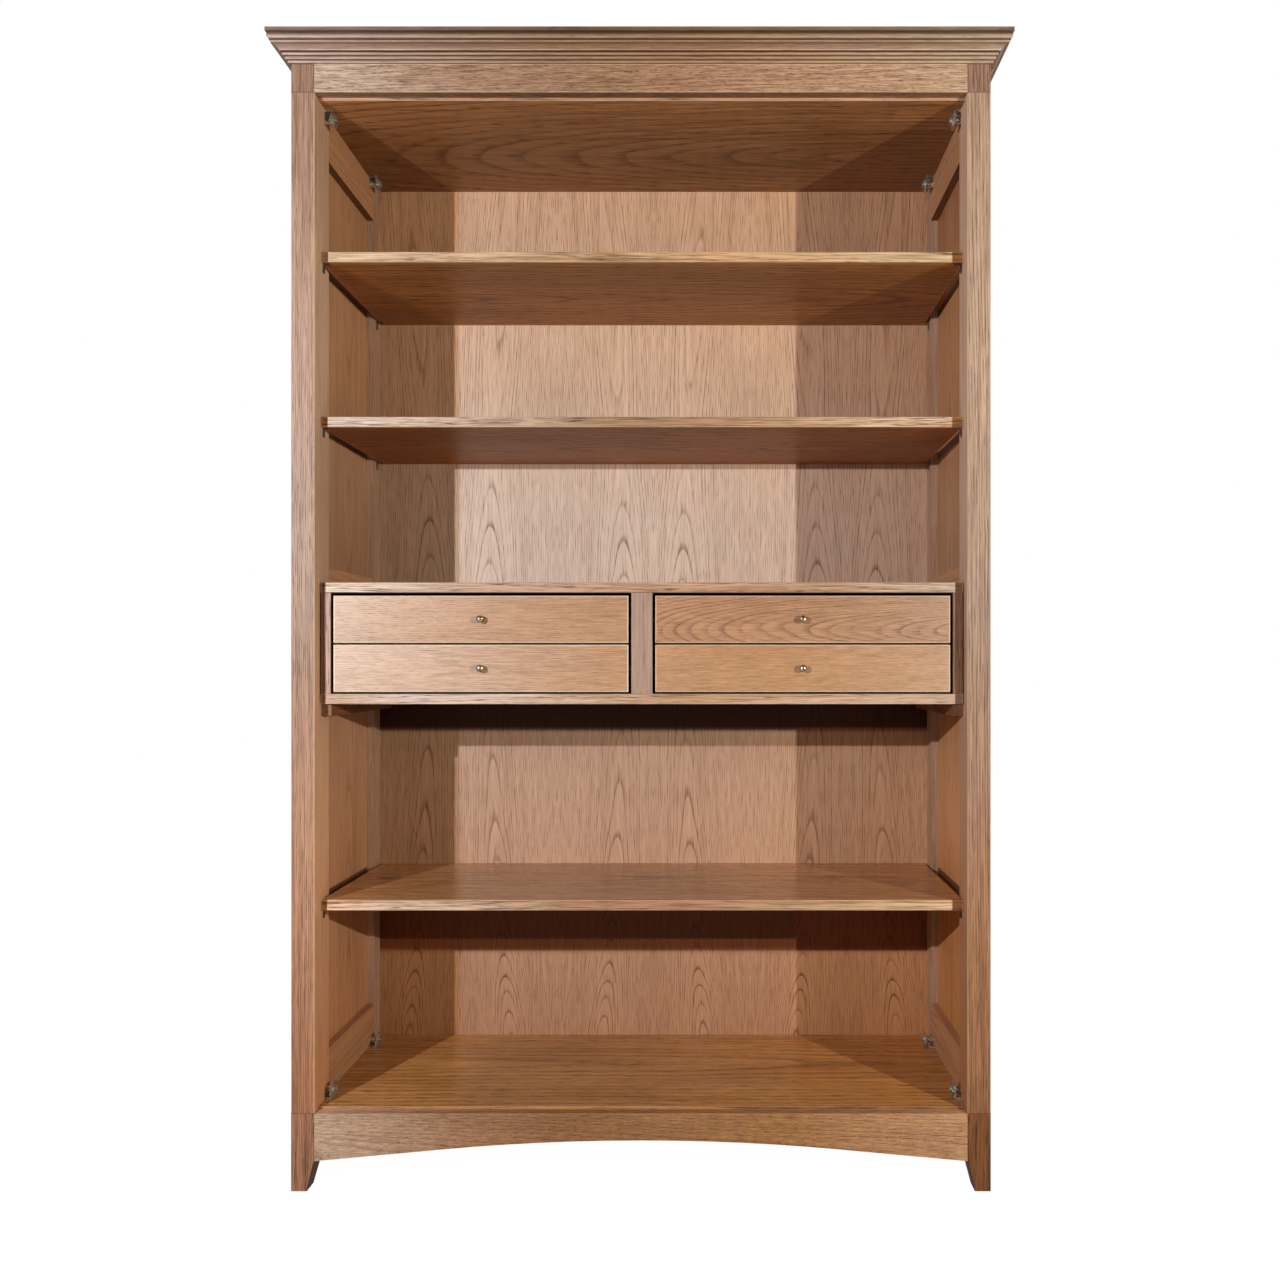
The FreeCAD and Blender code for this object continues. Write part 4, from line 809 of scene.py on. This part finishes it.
# Metal: an antique brass for the knobs, a dark steel for the pegs and screws, and a dull steel for
# the corner fixings. Where it is cloudy it is darker and rougher.
metalDetail = dict(cloud=((260, 260, 260), 3.0, 0.6), cloudStep=(0.35, 0.62), cloudRough=-0.25,
                   roughRise=0.12, pits=((900, 900, 900), 2.0))
metalBump = dict(strength=0.2, distance=0.0002)


def metalMaterial(name, colour, dark, rough, metallic=1.0):
    m = metalDetail
    material, tree, shader = newMaterial(name)
    place = coordinate(tree, "Object")
    cloud = noise(tree, place, *m["cloud"])[0]
    clear = ease(tree, cloud, *m["cloudStep"])
    tree.links.new(blendColour(tree, clear, dark + (1,), colour + (1,)),
                   shader.inputs["Base Color"])
    tree.links.new(calc(tree, "ADD", calc(tree, "MULTIPLY", cloud, m["cloudRough"]),
                        rough + m["roughRise"]), shader.inputs["Roughness"])
    addBump(tree, shader, noise(tree, place, *m["pits"])[0], **metalBump)
    shader.inputs["Metallic"].default_value = metallic
    return material


knobMetal = metalMaterial("antique_brass", (0.72, 0.58, 0.45), (0.2, 0.125, 0.08), 0.3)
pegMetal = metalMaterial("dark_steel", (0.30, 0.27, 0.25), (0.10, 0.085, 0.08), 0.35)
steel = metalMaterial("dull_steel", (0.88, 0.94, 0.9), (0.2, 0.21, 0.2), 0.2, metallic=0.8)
wear("shelf_pegs", pegMetal)
wear("corner_plates", steel)
wear("corner_bolts", steel)


# New pieces are lathe and polar surfaces worked out on a grid

def gridMesh(name, points, material):
    # points is rows x columns x 3. Columns close on themselves, and the first and last rows are
    # poles, each kept as one point.
    rows, columns = points.shape[:2]
    ring = points[1:-1].reshape(-1, 3)
    verts = np.concatenate([points[:1, 0], ring, points[-1:, 0]])
    number = 1 + np.arange((rows - 2) * columns).reshape(rows - 2, columns)
    right = np.roll(number, -1, axis=1)
    quads = np.stack([number[:-1], right[:-1], right[1:], number[1:]], -1).reshape(-1, 4)
    first = np.stack([np.zeros(columns, int), right[0], number[0]], -1)
    last = np.stack([np.full(columns, len(verts) - 1), number[-1], right[-1]], -1)
    mesh = bpy.data.meshes.new(name)
    mesh.from_pydata(verts.tolist(), [], first.tolist() + quads.tolist() + last.tolist())
    mesh.polygons.foreach_set("use_smooth", np.full(len(mesh.polygons), True))
    mesh.materials.append(material)
    mesh.update()
    piece = bpy.data.objects.new(name, mesh)
    scene.collection.objects.link(piece)
    return piece


def directions(axis):
    # The axis and two directions square to it
    axis = np.array(axis, float)
    side = np.cross(axis, (0, 0, 1))
    side /= np.linalg.norm(side)
    return axis, side, np.cross(side, axis)


# Knob: a rose, a waisted neck and a domed head with a rounded rim
knob = dict(roseRadius=0.0056, roseThick=0.002, roseRound=0.0006, neckRadius=0.0032,
            neckEnd=0.007, headRadius=0.0066, rimRound=0.0012, rimEnd=0.0095, tip=0.014,
            spigotRadius=0.002, spigotLength=0.012, neckPoints=15, rimPoints=6, domePoints=12,
            columns=48)


def knobProfile():
    k = knob
    t = np.linspace(0, 1, k["neckPoints"])
    # neck: radius = mix of rose and head with a parabolic waist
    neckOut = k["roseThick"] + (k["neckEnd"] - k["roseThick"]) * t
    foot, head = k["roseRadius"] - k["roseRound"], k["headRadius"] - k["rimRound"]
    waist = (foot + head) / 2 - k["neckRadius"]
    neckRadius = foot * (1 - t) + head * t - waist * 4 * t * (1 - t)
    # rim: a quarter round of radius rimRound and then straight
    a = np.linspace(0, np.pi / 2, k["rimPoints"])
    rimRadius = k["headRadius"] - k["rimRound"] * (1 - np.sin(a))
    rimOut = k["neckEnd"] + k["rimRound"] * (1 - np.cos(a))
    # dome: ellipse from the rim to the tip
    b = np.linspace(0, np.pi / 2, k["domePoints"])
    domeRadius = k["headRadius"] * np.cos(b)
    domeOut = k["rimEnd"] + (k["tip"] - k["rimEnd"]) * np.sin(b)
    rose = [(0, -k["spigotLength"]), (k["spigotRadius"], -k["spigotLength"]),
            (k["spigotRadius"], 0), (k["roseRadius"], 0),
            (k["roseRadius"], k["roseThick"] - k["roseRound"])]
    return np.concatenate([np.array(rose), np.stack([neckRadius, neckOut], -1)[1:],
                           np.stack([rimRadius, rimOut], -1)[1:],
                           np.stack([domeRadius, domeOut], -1)])


def knobPoints(centre):
    # Lathe: point = centre + axis * out + (side * cos a + up * sin a) * radius
    axis, side, up = directions((0, -1, 0))
    angle = np.linspace(0, 2 * np.pi, knob["columns"], endpoint=False)
    spokes = np.cos(angle)[:, None] * side + np.sin(angle)[:, None] * up
    radius, out = knobProfile().T
    return centre + out[:, None, None] * axis + radius[:, None, None] * spokes


for level in ("lower", "upper"):
    for hand in ("left", "right"):
        drawer = level + "_" + hand + "_drawer"
        low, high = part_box(drawer + "_front")
        centre = np.array([(low.x + high.x) / 2, low.y, (low.z + high.z) / 2])
        piece = gridMesh("knob_" + level + "_" + hand, knobPoints(centre), knobMetal)
        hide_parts(drawer + "_knob")
        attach(piece, drawer)
print("knobs made")


# Screws: a polar grid whose height is a low dome less a cross recess,
# height = dome * (1 - (r/R)^2) - depth * max(cross arm along X, cross arm along Y)
screw = dict(radius=0.0036, dome=0.0006, rim=0.0004, sunk=0.0002, armWidth=0.0007,
             armLength=0.0021, armWall=0.0002, armEnd=0.0004, depth=0.0012, innerRing=0.0003,
             rings=11, columns=32)
backScrews = dict(sideInset=0.012, endInset=0.06, rows=9)
cleatScrews = dict(cleatWidth=0.024, depths=(-0.08, 0.03, 0.14))


def screwPoints(centre, axis):
    s = screw
    axis, side, up = directions(axis)
    rings = np.linspace(s["innerRing"], s["radius"], s["rings"])
    radius = np.concatenate([[0], rings, [s["radius"], 0]])
    angle = np.linspace(0, 2 * np.pi, s["columns"], endpoint=False)
    r, a = np.meshgrid(radius, angle, indexing="ij")
    u, v = r * np.cos(a), r * np.sin(a)

    def arm(p, q):
        inside = np.clip((s["armWidth"] - np.abs(p)) / s["armWall"], 0, 1)
        return inside * np.clip((s["armLength"] - np.abs(q)) / s["armEnd"], 0, 1)

    height = s["rim"] + s["dome"] * (1 - (r / s["radius"]) ** 2)
    height -= s["depth"] * np.maximum(arm(u, v), arm(v, u))
    height[-2:] = -s["sunk"]
    return centre + height[..., None] * axis + u[..., None] * side + v[..., None] * up


def addScrew(name, centre, axis):
    piece = gridMesh(name, screwPoints(np.array(centre, float), axis), pegMetal)
    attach(piece, "carcass")


backLow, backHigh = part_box("back_panel")
inset, endInset = backScrews["sideInset"], backScrews["endInset"]
count = 0
for x in (backLow.x + inset, backHigh.x - inset):
    for z in np.linspace(backLow.z + endInset, backHigh.z - endInset, backScrews["rows"]):
        count += 1
        addScrew("back_screw_%02d" % count, (x, backHigh.y, z), (0, 1, 0))
cleatLow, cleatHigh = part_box("case_cleats")
cleatFace = cleatHigh.x - cleatScrews["cleatWidth"]
cleatMiddle = (cleatLow.z + cleatHigh.z) / 2
for side in (-1, 1):
    for y in cleatScrews["depths"]:
        count += 1
        addScrew("cleat_screw_%02d" % count, (side * cleatFace, y, cleatMiddle), (-side, 0, 0))
print("screws made:", count)


# Camera: level, at the photograph's height and to the right of the middle
camera = dict(place=(0.126, -2.047, 0.9045), sensor=36.0, lens=30.57, shift=(-0.0581, 0.0184),
              clip=(0.05, 60))
cameraData = bpy.data.cameras.new("camera")
cameraData.sensor_width = camera["sensor"]
cameraData.lens = camera["lens"]
cameraData.shift_x, cameraData.shift_y = camera["shift"]
cameraData.clip_start, cameraData.clip_end = camera["clip"]
cameraObject = bpy.data.objects.new("camera", cameraData)
cameraObject.location = camera["place"]
cameraObject.rotation_euler = (math.pi / 2, 0, 0)
scene.collection.objects.link(cameraObject)
scene.camera = cameraObject

# Lamps: two small ones, left and right of the camera and a little above it
lamps = {
    "lamp_left": dict(place=(-1.30, -2.09, 1.371), power=142.0, colour=(1.0, 0.99, 1.0),
                      size=0.012),
    "lamp_right": dict(place=(1.738, -1.889, 1.156), power=131.0, colour=(1.0, 0.93, 0.82),
                       size=0.012),
}
for name, given in lamps.items():
    data = bpy.data.lights.new(name, "POINT")
    data.energy = given["power"]
    data.color = given["colour"]
    data.shadow_soft_size = given["size"]
    lamp = bpy.data.objects.new(name, data)
    lamp.location = given["place"]
    scene.collection.objects.link(lamp)

# Room: it lights the back, the sides and the top well and the open front little, and is seen as
# white. rearFrom holds the directions' Y where the front light turns to the rear light.
white = (1, 1, 1, 1)
room = dict(frontLight=0.02, frontColour=(1.0, 0.8, 0.6, 1), rearLight=0.75, rearColour=white,
            frontGloss=0.2, rearFrom=(-0.15, 0.6))


def seenDirectly(tree, glossLevel):
    path = tree.nodes.new("ShaderNodeLightPath").outputs
    gloss = calc(tree, "MULTIPLY", path["Is Glossy Ray"], glossLevel)
    seen = calc(tree, "MAXIMUM", path["Is Camera Ray"], gloss)
    return calc(tree, "MAXIMUM", seen, path["Is Transmission Ray"])


world = bpy.data.worlds.new("room")
world.use_nodes = True
scene.world = world
tree = world.node_tree
background = tree.nodes["Background"]
rear = ease(tree, parts(tree, coordinate(tree, "Generated"))[1], *room["rearFrom"])
front = room["frontGloss"]
seen = seenDirectly(tree, calc(tree, "MULTIPLY_ADD", rear, 1 - front, front))
tint = blendColour(tree, rear, room["frontColour"], room["rearColour"])
tree.links.new(blendColour(tree, seen, tint, white), background.inputs["Color"])
light = calc(tree, "MULTIPLY_ADD", rear, room["rearLight"] - room["frontLight"],
             room["frontLight"])
tree.links.new(calc(tree, "MAXIMUM", seen, light), background.inputs["Strength"])

# Floor: pale, seen as near white, and it keeps a faint shadow
ground = dict(reach=7.0, drop=0.0005, colour=(0.3, 0.3, 0.3, 1), rough=0.9, glow=1.15, share=0.86)
floorMesh = bpy.data.meshes.new("floor")
corners = [(x * ground["reach"], y * ground["reach"], -ground["drop"])
           for x, y in ((-1, -1), (1, -1), (1, 1), (-1, 1))]
floorMesh.from_pydata(corners, [], [(0, 1, 2, 3)])
floor = bpy.data.objects.new("floor", floorMesh)
scene.collection.objects.link(floor)
floorMaterial, tree, shader = newMaterial("pale_floor")
shader.inputs["Base Color"].default_value = ground["colour"]
shader.inputs["Roughness"].default_value = ground["rough"]
glow = tree.nodes.new("ShaderNodeEmission")
glow.inputs["Strength"].default_value = ground["glow"]
share = calc(tree, "MULTIPLY", seenDirectly(tree, room["frontGloss"]), ground["share"])
mixer = tree.nodes.new("ShaderNodeMixShader")
mixed = feedAll(tree, mixer, (share, shader.outputs[0], glow.outputs[0]))[0]
tree.links.new(mixed, tree.nodes["Material Output"].inputs["Surface"])
floorMesh.materials.append(floorMaterial)

scene.view_settings.view_transform = "Standard"
print("stage made")
